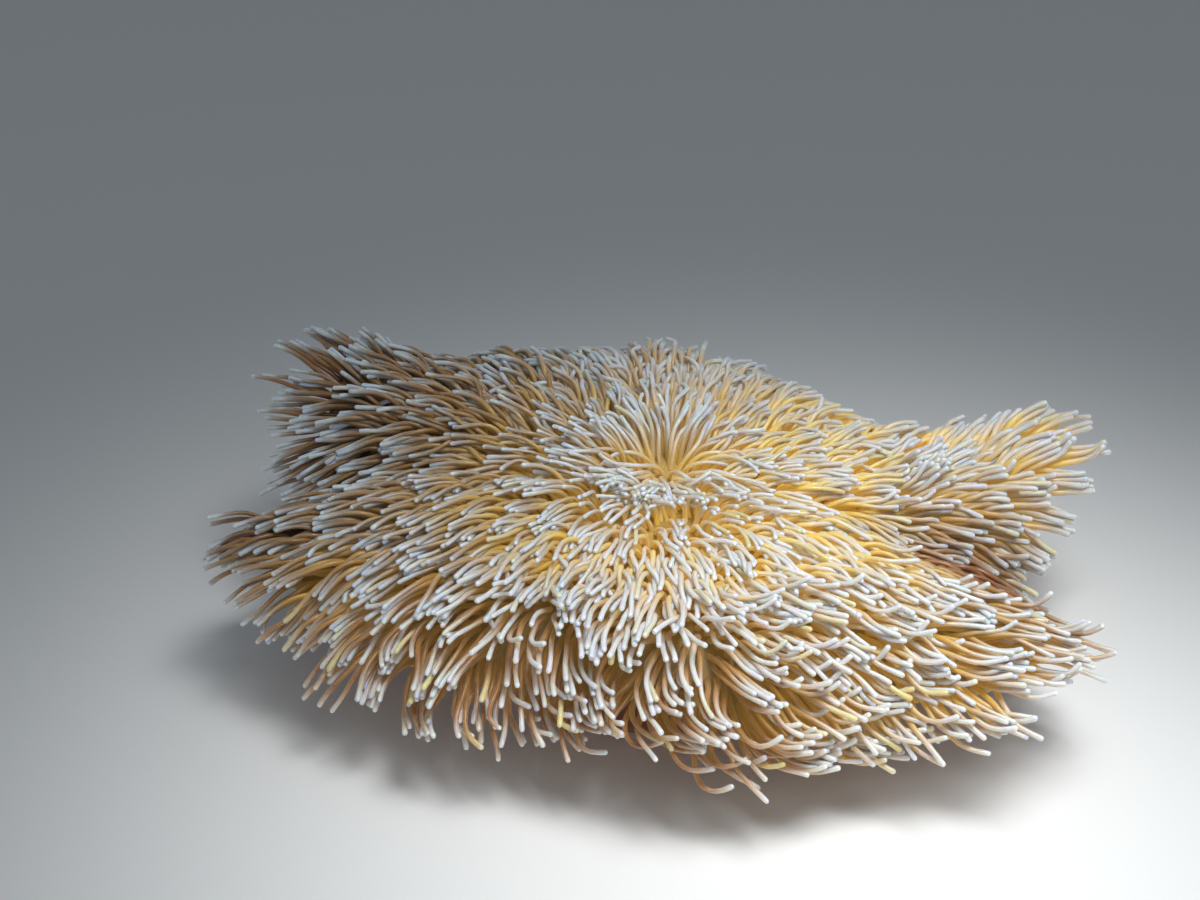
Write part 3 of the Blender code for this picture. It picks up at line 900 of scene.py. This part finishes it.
@dataclass
class Relaxation:
    """Lays centre lines over each other, so that none passes through another or the skin."""

    skin_gap: float = 0.0018
    floor_gap: float = 0.0035
    rounds: int = 120
    quick_rounds: int = 18
    relist_every: int = 4
    pull: float = 0.02
    pull_along: Span = (1.6, 0.5)
    stiffness: float = 0.35
    slack: float = 0.0020
    most_hits: float = 1.5
    search: float = 0.012

    def run(self, lines: Array, radii: Array, skin: BVHTree) -> Array:
        """Relaxes the lines.

        Args:
            lines: The centre lines, as tentacle by point by three.
            radii: The radius of each tentacle.
            skin: The skin, for keeping clear of it.

        Returns:
            The centre lines at rest.
        """
        count, length, _ = lines.shape
        start = lines.copy()
        segment = lengths(lines[:, 1:] - lines[:, :-1]).mean(1)
        bow = start[:, 1:-1] - (start[:, :-2] + start[:, 2:]) / 2
        owners = np.repeat(np.arange(count), length)
        thick = np.repeat(radii, length)
        free = np.ones((count, length, 1))
        free[:, :2] = 0
        weight = free.reshape(-1)
        pull = self.pull * np.linspace(*self.pull_along, length)[None, :, None]
        for turn in range(self.rounds):
            if turn % self.relist_every == 0:
                flat = lines.reshape(-1, 3)
                first, second = close_pairs(flat, owners, 2 * radii.max() + self.slack)
                gaps = thick[first] + thick[second]
                self._keep_off_skin(lines, skin)
            lines += (start - lines) * pull * free
            lines[:, 1:-1] += (
                (lines[:, :-2] + lines[:, 2:]) / 2 + bow - lines[:, 1:-1]
            ) * self.stiffness * free[:, 1:-1]
            self._push_apart(lines.reshape(-1, 3), first, second, gaps, weight)
            self._keep_length(lines, segment)
            np.maximum(lines[..., 2], self.floor_gap, out=lines[..., 2], where=free[..., 0] > 0)
        return lines

    def _push_apart(self, flat: Array, first: Array, second: Array, gaps: Array,
                    weight: Array) -> None:
        """Moves the points of each pair that is too close away from each other."""
        between = flat[first] - flat[second]
        away = lengths(between)
        near = away < gaps
        first, second, between, away = first[near], second[near], between[near], away[near]
        push = between * ((gaps[near] - away) / np.maximum(away, 1e-6) * 0.5)[:, None]
        hits = np.bincount(first, minlength=len(flat)) + np.bincount(second, minlength=len(flat))
        share = weight * self.most_hits / np.maximum(hits, self.most_hits)
        for axis in range(3):
            moved = np.bincount(first, push[:, axis], len(flat))
            moved -= np.bincount(second, push[:, axis], len(flat))
            flat[:, axis] += moved * share

    @staticmethod
    def _keep_length(lines: Array, segment: Array) -> None:
        """Gives every step of each line its own length again, from the root out."""
        for k in range(2, lines.shape[1]):
            step = lines[:, k] - lines[:, k - 1]
            lines[:, k] = lines[:, k - 1] + unit(step) * segment[:, None]

    def _keep_off_skin(self, lines: Array, skin: BVHTree) -> None:
        """Lifts points that are in the skin or too close to it."""
        flat = lines[:, 2:].reshape(-1, 3)
        for k, point in enumerate(flat):
            found, normal, _, _ = skin.find_nearest(Vector(point), self.search)
            if found is None:
                continue
            height = (Vector(point) - found).dot(normal)
            if height < self.skin_gap:
                flat[k] = point + np.array(normal) * (self.skin_gap - height)
        lines[:, 2:] = flat.reshape(lines[:, 2:].shape)


@dataclass
class Tentacles:
    """All the tentacles of the disc.

    The parting is the place on the crown from which they lean away.  A trend runs over the shares
    of the disc, unless its use says otherwise, and what happens along a tentacle is given from its
    root (0) to its tip (1).
    """

    disc: Disc
    finish: TentacleFinish = TentacleFinish()
    relaxation: Relaxation = field(default_factory=Relaxation)
    seed: int = 7
    points: int = 16
    rings: int = 20
    sides: int = 8

    # Where they stand.
    tries: int = 210000
    spacing: Trend = Trend(0.0029, 0.0039, (0.0, 0.35))
    first_radius: float = 0.0128
    last_share: float = 0.995
    centre_radius: float = 0.050
    sunk: float = 0.0020

    # How they are held.
    parting: Span = (0.010, 0.026)
    own_heading: Span = (0.1, 0.6)
    length: Trend = Trend(0.029, 0.041, (0.0, 0.5))
    more_length: Trend = Trend(0.0, 0.005, (0.6, 1.0))
    length_spread: float = 0.18
    swings: Outline = ((15.0, 0.12), (9.0, 0.035))
    lifts: Outline = ((6.0, 0.09), (6.0, 0.03))
    drift_waves: int = 7
    drift_calm: float = 2.6
    unrest: float = 9.0
    inner_swing: Trend = Trend(60.0, 0.0, (0.05, 0.25))
    behind: float = 0.012
    standing: Span = (30.0, 0.030)
    leaning: Span = (42.0, 0.028)
    reaching: Trend = Trend(0.0, 0.016, (0.0, 0.010))
    root_lean: Trend = Trend(0.0, 22.0, (0.0, 0.2))
    tip_lean: Trend = Trend(34.0, 84.0, (0.0, 0.42))
    lean_over: Span = (0.0, 1 / 1.3)
    folded: Trend = Trend(1.0, 0.0, (0.018, 0.030))
    fold_over: Trend = Trend(1.4, 0.0, (0.0, 1 / 1.4))
    fanned: Span = (0.5, 1.2)
    vigour: Span = (0.5, 1.5)
    swept: Span = (0.25, 0.90)
    droop: float = 0.35
    wave: Span = (4.0, 23.0)
    kink: Span = (20.0, 65.0)
    kinked: Trend = Trend(0.35, 0.0, (0.375, 1.0))
    kink_at: Span = (0.35, 0.75)
    kink_length: float = 0.25
    hook: Span = (35.0, 80.0)
    hook_at: Span = (0.55, 0.95)
    hook_toward: Triple = (0.9, 0.0, 0.6)
    tuft_share: float = 0.11
    tuft_hold: Span = (0.0, 0.62)
    tuft_from: float = -0.2

    # How thick they are.
    radius: Trend = Trend(0.00112, 0.00134, (0.0, 0.6))
    radius_spread: float = 0.10
    fold: Region = Region(13, 15, 0.90, 0.28)
    fold_swelling: float = 0.28
    taper: Trend = Trend(1.12, 0.92, (0.0, 1 / 1.5))
    root_flare: Span = (0.35, 0.05)
    tip_bulb: Triple = (0.10, 0.96, 0.07)
    ripples: Outline = ((0.030, 19.0), (0.020, 47.0))
    tip_length: float = 1.35
    dome: tuple[float, ...] = (0.60, 0.32, 0.13, 0.03)
    patch_fill: float = 0.86

    # How they are coloured.
    pale_length: float = 0.036
    # Regions made more pale (above 0) or less pale (below 0).  The one at 255 is a painted
    # highlight along the front ridge, and the one at 354 is painted shade in the hollow under the
    # fold.
    paler_and_painted_light: tuple[tuple[float, Region], ...] = (
        (1.6, Region(255, 55, 0.69, 0.12)),
        (0.5, Region(152, 17, 0.92, 0.28)),
        (0.4, Region(13, 15, 0.90, 0.28)),
        (-0.5, Region(35, 35, 0.50, 0.22)),
        (0.6, Region(280, 60, 0.40, 0.20)),
        (0.5, Region(325, 25, 0.80, 0.30)),
        (-0.4, Region(190, 50, 0.50, 0.22)),
        (1.6, Region(85, 58, 0.68, 0.22)),
        (-0.6, Region(354, 13, 0.84, 0.30)),
        (0.9, Region(82, 32, 0.42, 0.20)),
    )
    paler_crown: Span = (0.7, 0.024)
    paler_inside: Span = (1.1, 0.034)
    front: Span = (0.005, 0.065)
    fringe: Span = (0.45, 0.82)
    fringe_aside: Trend = Trend(1.0, 0.5, (0.0, 0.12))
    # Painted shade: the hanging fringe is made less pale.
    fringe_painted_dimming: float = 0.4
    fringe_painted_deep_shade: float = 0.9
    gilt_share: float = 0.08
    gilt: Span = (0.4, 1.0)
    # Painted shade: a level and its growth with x and with y, darker to the left and the back, away
    # from the key light.
    shade: Triple = (0.37, -1 / 0.28, 1 / 0.40)
    shade_spread: float = 0.06
    # Less painted shade on the front rim, where the light falls.
    lit_rim: Trend = Trend(0.0, 0.6, (0.6, 0.9))
    # Painted shadow in the hollow under the fold.
    hollow: Region = Region(354, 13, 0.84, 0.30)
    hollow_painted_deep_shade: float = 0.85
    # Painted shade on the bank beside the hollow.
    bank: Region = Region(342, 13, 0.85, 0.32)
    bank_shade: float = 0.45

    def plant(self, random: np.random.Generator) -> tuple[Array, Array]:
        """Chooses the roots, evenly spread over the disc and nowhere in rows.

        Args:
            random: The source of chance.

        Returns:
            The share and the angle of each root.
        """
        shares = random.uniform(0, self.last_share, self.tries)
        degrees = random.uniform(0, 360, self.tries)
        # The area of a small patch at each place evens out the chances.
        ahead = self.disc.read(self.disc.skin, shares + 1e-3, degrees)
        aside = self.disc.read(self.disc.skin, shares, degrees + 0.3)
        here = self.disc.read(self.disc.skin, shares, degrees)
        area = lengths(np.cross(ahead - here, aside - here))
        chosen = random.uniform(0, area.max(), len(area)) < area
        chosen &= lengths(here[:, :2]) > self.first_radius
        shares, degrees, here = shares[chosen], degrees[chosen], here[chosen]
        pairs = np.sort(close_pairs(here, np.arange(len(here)), self.spacing.last), 0)
        room = self.spacing.at(shares[pairs[1]])
        pairs = pairs[:, lengths(here[pairs[0]] - here[pairs[1]]) < room]
        kept = [True] * len(here)
        for earlier, later in pairs[:, np.lexsort(pairs)].T.tolist():
            if kept[earlier]:
                kept[later] = False
        return shares[kept], degrees[kept]

    def _drift(self, places: Array, random: np.random.Generator, waves: Outline) -> Array:
        """A random angle that neighbours nearly share, from waves of so many degrees and metres."""
        total = np.zeros(len(places))
        for degrees, wavelength in waves:
            for _ in range(self.drift_waves):
                heading = unit(random.normal(size=3)) * 2 * math.pi / wavelength
                wave = np.sin(places @ heading + random.uniform(0, 2 * math.pi))
                total += wave * degrees / self.drift_calm
        return total

    def lines(self, shares: Array, degrees: Array, random: np.random.Generator) -> Array:
        """Lays out the centre lines as the animal holds them.

        Args:
            shares: The share of each root.
            degrees: The angle of each root.
            random: The source of chance.

        Returns:
            The centre lines, as tentacle by point by three.
        """
        count = len(shares)
        skin, normal, outward = (
            self.disc.read(g, shares, degrees)
            for g in (self.disc.skin, self.disc.normal, self.disc.outward)
        )
        normal, parted = unit(normal), skin * (1, 1, 0)
        parted[:, :2] -= self.parting
        own = rise(shares, self.own_heading)[:, None]
        outward = unit(outward) * own + unit(parted) * (1 - own)
        outward = unit(outward - normal * np.sum(outward * normal, 1, keepdims=True))
        across = unit(np.cross(normal, outward))
        length = self.length.at(shares) + self.more_length.at(shares)
        length *= 1 + self.length_spread * random.uniform(-1, 1, count)
        swing = self._drift(skin, random, self.swings) + random.normal(0, self.unrest, count)
        swing += random.uniform(-1, 1, count) * self.inner_swing.at(shares)
        lift = self._drift(skin, random, self.lifts) + random.normal(0, self.unrest, count)
        crown = lengths(skin[:, :2] - self.parting)
        behind = smooth((skin[:, 1] - self.parting[1]) / self.behind)
        lift += self.standing[0] * behind * bell(crown, self.standing[1])
        spreads = [fan.pull(self.disc, skin) for fan in FANS]
        spread = sum(fanned for fanned, _ in spreads)
        length *= 1 - sum(lost for _, lost in spreads)
        pull, hooked = np.zeros((count, 3)), np.zeros(count)
        for sweep in SWEEPS:
            weight = sweep.weight(shares, degrees)
            pull += weight[:, None] * np.array(sweep.pull)
            hooked += weight * sweep.hooked
            lift += weight * sweep.raised
        hooks = random.uniform(size=count) < hooked
        hook = hooks * random.uniform(*self.hook, count)
        wave = random.uniform(*self.wave, count) * random.choice([-1, 1], count)
        phase = random.uniform(0, 1, count)
        forward = (1 - behind) * bell(crown, self.leaning[1])
        low = self.root_lean.at(shares)
        high = self.tip_lean.at(shares) + self.leaning[0] * forward
        length += forward * self.reaching.at(skin[:, 1])
        kink = random.uniform(*self.kink, count) * random.choice([-1, 1], count)
        kink *= random.uniform(size=count) < self.kinked.at(shares)
        kink_at = random.uniform(*self.kink_at, count)
        vigour = random.uniform(*self.vigour, count)
        over = unit(-skin * (1, 1, 0)) * self.folded.at(lengths(skin[:, :2]))[:, None]
        toward = unit(np.array(self.hook_toward))
        step = (length / (self.points - 1))[:, None]
        path = [skin - normal * self.sunk]
        for k in range(1, self.points):
            u = (k - 0.5) / (self.points - 1)
            grown = min(1, 2 * u)
            lean = np.radians(low + (high - low) * rise(u, self.lean_over) - lift * grown)
            turn = swing * grown + wave * np.sin(2 * math.pi * (u + phase))
            turn = np.radians(turn + kink * smooth((u - kink_at) / self.kink_length))
            run = normal * np.cos(lean)[:, None] + (
                outward * np.cos(turn)[:, None] + across * np.sin(turn)[:, None]
            ) * np.sin(lean)[:, None]
            run += over * self.fold_over.at(u) + spread * np.interp(u, (0, 1), self.fanned)
            run += pull * (vigour * rise(u, self.swept))[:, None]
            run[:, 2] -= self.droop * u
            run = unit(run)
            curl = np.radians(hook * rise(u, self.hook_at))[:, None]
            bent = unit(toward - run * (run @ toward)[:, None])
            path.append(path[-1] + (run * np.cos(curl) + bent * np.sin(curl)) * step)
        return self._gather(np.stack(path, 1), random)

    def _gather(self, lines: Array, random: np.random.Generator) -> Array:
        """Draws neighbouring tentacles together into tufts towards their tips.

        Args:
            lines: The centre lines, as tentacle by point by three.
            random: The source of chance.

        Returns:
            The lines, gathered.
        """
        count, length, _ = lines.shape
        heads = random.permutation(count)[: int(count * self.tuft_share)]
        middles = lines[:, length // 2]
        tuft = np.argmin(lengths(middles[:, None] - middles[heads][None]), 1)
        members = np.maximum(np.bincount(tuft, minlength=len(heads)), 1)[:, None, None]
        mean = np.zeros((len(heads), length, 3))
        np.add.at(mean, tuft, lines)
        mean /= members
        hold = random.uniform(*self.tuft_hold, len(heads))[tuft]
        along = smooth(np.linspace(self.tuft_from, 1, length))
        return lines + (mean[tuft] - lines) * hold[:, None, None] * along[None, :, None]

    def tubes(self, lines: Array, thick: Array,
              random: np.random.Generator) -> tuple[Array, Array]:
        """Turns centre lines into rings of points.

        Args:
            lines: The centre lines.
            thick: The radius of each tentacle.
            random: The source of chance.

        Returns:
            The rings (tentacle, ring, side, three), and how near the tip each ring is.
        """
        count, length, _ = lines.shape
        total = lengths(lines[:, 1:] - lines[:, :-1]).sum(1)
        dome = np.array(self.dome)
        body = np.linspace(0, 1, self.rings - len(dome))
        cap = (self.tip_length * thick / total)[:, None]
        along = np.concatenate([body * (1 - cap), 1 - cap * dome], 1)
        round_off = np.concatenate([np.ones(len(body)), np.sqrt(1 - (1 - dome) ** 2)])
        flare, flare_length = self.root_flare
        bulb, bulb_at, bulb_length = self.tip_bulb
        profile = self.taper.at(along) + flare * bell(along, flare_length)
        profile += bulb * bell(along - bulb_at, bulb_length)
        phases = random.uniform(0, 2 * math.pi, (len(self.ripples), count, 1))
        for (depth, often), phase in zip(self.ripples, phases):
            profile += depth * np.sin(along * often + phase)
        radii = thick[:, None] * profile * round_off
        centres, ahead, behind = (
            self._between(lines, np.clip(along + step, 0, 1) * (length - 1))
            for step in (0, 0.01, -0.01)
        )
        heading = unit(ahead - behind)
        side = unit(np.cross(heading[:, 0], ASLANT))
        x, y = (v[None, :, None] for v in circle(np.arange(self.sides) * 360 / self.sides))
        rings = []
        for k in range(self.rings):
            side = unit(side - heading[:, k] * np.sum(side * heading[:, k], 1, keepdims=True))
            offset = side[:, None] * x + np.cross(heading[:, k], side)[:, None] * y
            rings.append(centres[:, k, None] + offset * radii[:, k, None, None])
        reach = 1 - (1 - along) * np.maximum(total[:, None] / self.pale_length, 1)
        return np.stack(rings, 1), np.clip(reach, 0, 1)

    @staticmethod
    def _between(lines: Array, place: Array) -> Array:
        """Points between those of each line, on a smooth curve through them."""
        last = lines.shape[1] - 1
        low = np.clip(place.astype(int), 0, last - 1)
        t = (place - low)[..., None]
        rows = np.arange(len(lines))[:, None]
        a, b, c, d = (lines[rows, np.clip(low + k, 0, last)] for k in (-1, 0, 1, 2))
        curved = 2 * a - 5 * b + 4 * c - d
        return 0.5 * (2 * b + (c - a) * t + curved * t**2 + (3 * b - a - 3 * c + d) * t**3)

    def _patches(self, shares: Array, degrees: Array) -> tuple[Array, float]:
        """Places a patch for each root, in its row and column of the unrolled lobe.

        Args:
            shares: The share of each root of the piece.
            degrees: The angle of each, counted on from the piece's first edge.

        Returns:
            The middle of each patch, and the width that leaves a gap between patches.
        """
        rows = math.ceil(math.sqrt(len(shares)))
        places = np.zeros((len(shares), 2))
        for row, members in enumerate(np.array_split(np.argsort(shares), rows)):
            members = members[np.argsort(degrees[members])]
            places[members, 0] = (np.arange(len(members)) + 0.5) / rows
            places[members, 1] = (row + 0.5) / rows
        return places, self.patch_fill / rows

    def _colouring(self, shares: Array, degrees: Array, places: Array,
                   random: np.random.Generator) -> dict[Mark, Array]:
        """Chooses each tentacle's colouring.

        Args:
            shares: The share of each root.
            degrees: The angle of each root.
            places: The place of each root.
            random: The source of chance.

        Returns:
            One number for each tentacle and mark.
        """
        count = len(shares)
        x, y = places[:, 0], places[:, 1]
        front, hollow = rise(-y, self.front), self.hollow.weight(shares, degrees)
        fringe = rise(shares, self.fringe) * front * self.fringe_aside.at(x)
        # Random paleness, with a painted highlight and painted shade in some regions, and the
        # fringe made less pale as painted shade.
        tone = sum(amount * region.weight(shares, degrees) for amount, region in self.paler_and_painted_light)
        for (amount, width), middle in (
            (self.paler_crown, self.parting), (self.paler_inside, (0.0, 0.0)),
        ):
            tone += amount * bell(lengths(places[:, :2] - middle), width)
        tone = random.uniform(size=count) + tone - self.fringe_painted_dimming * fringe
        gilded = random.uniform(size=count) < self.gilt_share
        gilding = gilded * random.uniform(*self.gilt, count)
        # Painted shade, darker to the left and the back and less on the front rim, with painted
        # shadow in the hollow and on the bank beside it; painted deep shade at the fringe's and the
        # hollow's roots.
        level, rightward, backward = self.shade
        shaded = level + rightward * x + backward * y - front * self.lit_rim.at(shares)
        shaded += random.normal(0, self.shade_spread, count)
        painted_shadow = np.maximum(hollow, self.bank_shade * self.bank.weight(shares, degrees))
        return {
            Mark.TONE_AND_PAINTED_LIGHT: tone,
            Mark.GILDING: gilding,
            Mark.PAINTED_SHADE: np.maximum(smooth(shaded), np.clip(painted_shadow, 0, 1)),
            Mark.PAINTED_DEEP_SHADE: np.clip(self.fringe_painted_deep_shade * fringe + self.hollow_painted_deep_shade * hollow, 0, 1),
        }

    def build(self, skin: bpy.types.Object) -> list[bpy.types.Object]:
        """Grows the tentacles.

        Args:
            skin: The skin that they stand on.

        Returns:
            One object for the centre and one for each lobe.
        """
        random = np.random.default_rng(self.seed)
        shares, degrees = self.plant(random)
        lines = self.lines(shares, degrees, random)
        LOG.info("planted %d tentacles", len(shares))
        started = time.perf_counter()
        tree = BVHTree.FromPolygons(
            [v.co for v in skin.data.vertices], [p.vertices for p in skin.data.polygons]
        )
        thick = self.radius.at(shares)
        thick *= 1 + self.radius_spread * random.uniform(-1, 1, len(shares))
        thick *= 1 + self.fold_swelling * self.fold.weight(shares, degrees)
        lines = self.relaxation.run(lines, thick, tree)
        LOG.info("laid them over each other in %.1f s", time.perf_counter() - started)
        rings, reach = self.tubes(lines, thick, random)
        places = self.disc.read(self.disc.skin, shares, degrees)
        marks = self._colouring(shares, degrees, places, random)
        marks = {mark: numbers[:, None, None] for mark, numbers in marks.items()}
        marks[Mark.REACH] = reach[..., None]
        central = lengths(places[:, :2]) < self.centre_radius
        groups = [("centre", central, -180)]
        start = LOBES[-1][1] - 360
        for name, end in LOBES:
            groups.append((name, ~central & ((degrees - start) % 360 < end - start), start))
            start = end
        made = []
        for name, chosen, start in groups:
            patches, patch = self._patches(shares[chosen], (degrees[chosen] - start) % 360)
            own = {mark: numbers[chosen] for mark, numbers in marks.items()}
            ends = lines[chosen][:, [0, -1]]
            made.append(
                add_tubes("tentacles_" + name, rings[chosen], ends, own, patches, patch)
            )
            LOG.info("%s has %d tentacles", made[-1].name, len(ends))
        return made

    def dress(self, pieces: list[bpy.types.Object]) -> None:
        """Gives the tentacles their finish and their place in the frame."""
        flesh = self.finish.material()
        for piece in pieces:
            piece.data.materials.append(flesh)
            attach(piece, BODY)


# ---- the studio ----
@dataclass(frozen=True)
class Lamp:
    """A square soft box that faces the animal."""

    name: str
    place: Triple
    size: float
    watts: float
    colour: Triple = (1.0, 1.0, 1.0)
    target: Triple = (0.0, 0.0, 0.1)
    spread: float = 180.0


@dataclass
class Studio:
    """The floor, the light and the camera."""

    crown: Triple = (0.0, 0.0, 0.116)
    elevation: float = 30.0
    distance: float = 0.90
    view_angle: float = 38.0
    aside: float = 0.0287
    above: float = 0.0172
    floor_size: float = 8.0
    sky: Triple = (0.80, 0.90, 1.0)
    sky_strength: float = 0.20
    floor: FloorFinish = FloorFinish()
    lamps: tuple[Lamp, ...] = (
        Lamp("key", (0.23, -0.31, 0.95), 0.40, 1.08, (0.97, 0.985, 1.0), (0.11, -0.15, 0.1), 53.0),
        Lamp("fill", (0.20, -1.20, 0.90), 0.90, 2.3, (0.90, 0.95, 1.0)),
    )

    def build(self) -> None:
        """Sets up the floor, the lamps, the sky and the camera."""
        scene = bpy.context.scene
        half = self.floor_size / 2
        corners = [(-half, -half, 0), (half, -half, 0), (half, half, 0), (-half, half, 0)]
        mesh = bpy.data.meshes.new("floor")
        mesh.from_pydata(corners, [], [(0, 1, 2, 3)])
        mesh.materials.append(self.floor.material())
        floor = put("floor", mesh)
        for lamp in self.lamps:
            self._add_lamp(lamp)
        world = bpy.data.worlds.new("studio")
        world.use_nodes = True
        sky = world.node_tree.nodes["Background"]
        sky.inputs["Color"].default_value = (*self.sky, 1)
        sky.inputs["Strength"].default_value = self.sky_strength
        scene.world = world
        scene.view_settings.view_transform = "Standard"
        self._add_camera()

    def _add_lamp(self, lamp: Lamp) -> None:
        """Hangs one soft box."""
        light = bpy.data.lights.new(lamp.name, "AREA")
        light.size, light.energy, light.color = lamp.size, lamp.watts, lamp.colour
        light.spread = math.radians(lamp.spread)
        made = put(lamp.name, light)
        made.location = lamp.place
        facing = Vector(lamp.target) - Vector(lamp.place)
        made.rotation_euler = facing.to_track_quat("-Z", "Y").to_euler()

    def _add_camera(self) -> None:
        """Places the camera, level and looking down on the animal from the front."""
        tilt = math.radians(self.elevation)
        forward = Vector((0, math.cos(tilt), -math.sin(tilt)))
        shift = Vector((-self.aside, self.above * math.sin(tilt), self.above * math.cos(tilt)))
        target = Vector(self.crown) + shift * self.distance
        data = bpy.data.cameras.new("camera")
        data.sensor_width = 36.0
        data.lens = data.sensor_width / (2 * math.tan(math.radians(self.view_angle) / 2))
        camera = put("camera", data)
        camera.location = target - forward * self.distance
        camera.rotation_euler = (math.pi / 2 - tilt, 0, 0)
        bpy.context.scene.camera = camera


def main() -> None:
    """Builds the animal and the studio."""
    logging.basicConfig(level=logging.INFO, format="%(name)s: %(message)s")
    disc = Disc()
    body = Skin(disc)
    skin = body.build()
    body.dress(skin)
    LOG.info("skin has %d faces", len(skin.data.polygons))
    tentacles = Tentacles(disc)
    tentacles.dress(tentacles.build(skin))
    Studio().build()
    bpy.context.view_layer.update()


if __name__ == "__main__":
    main()
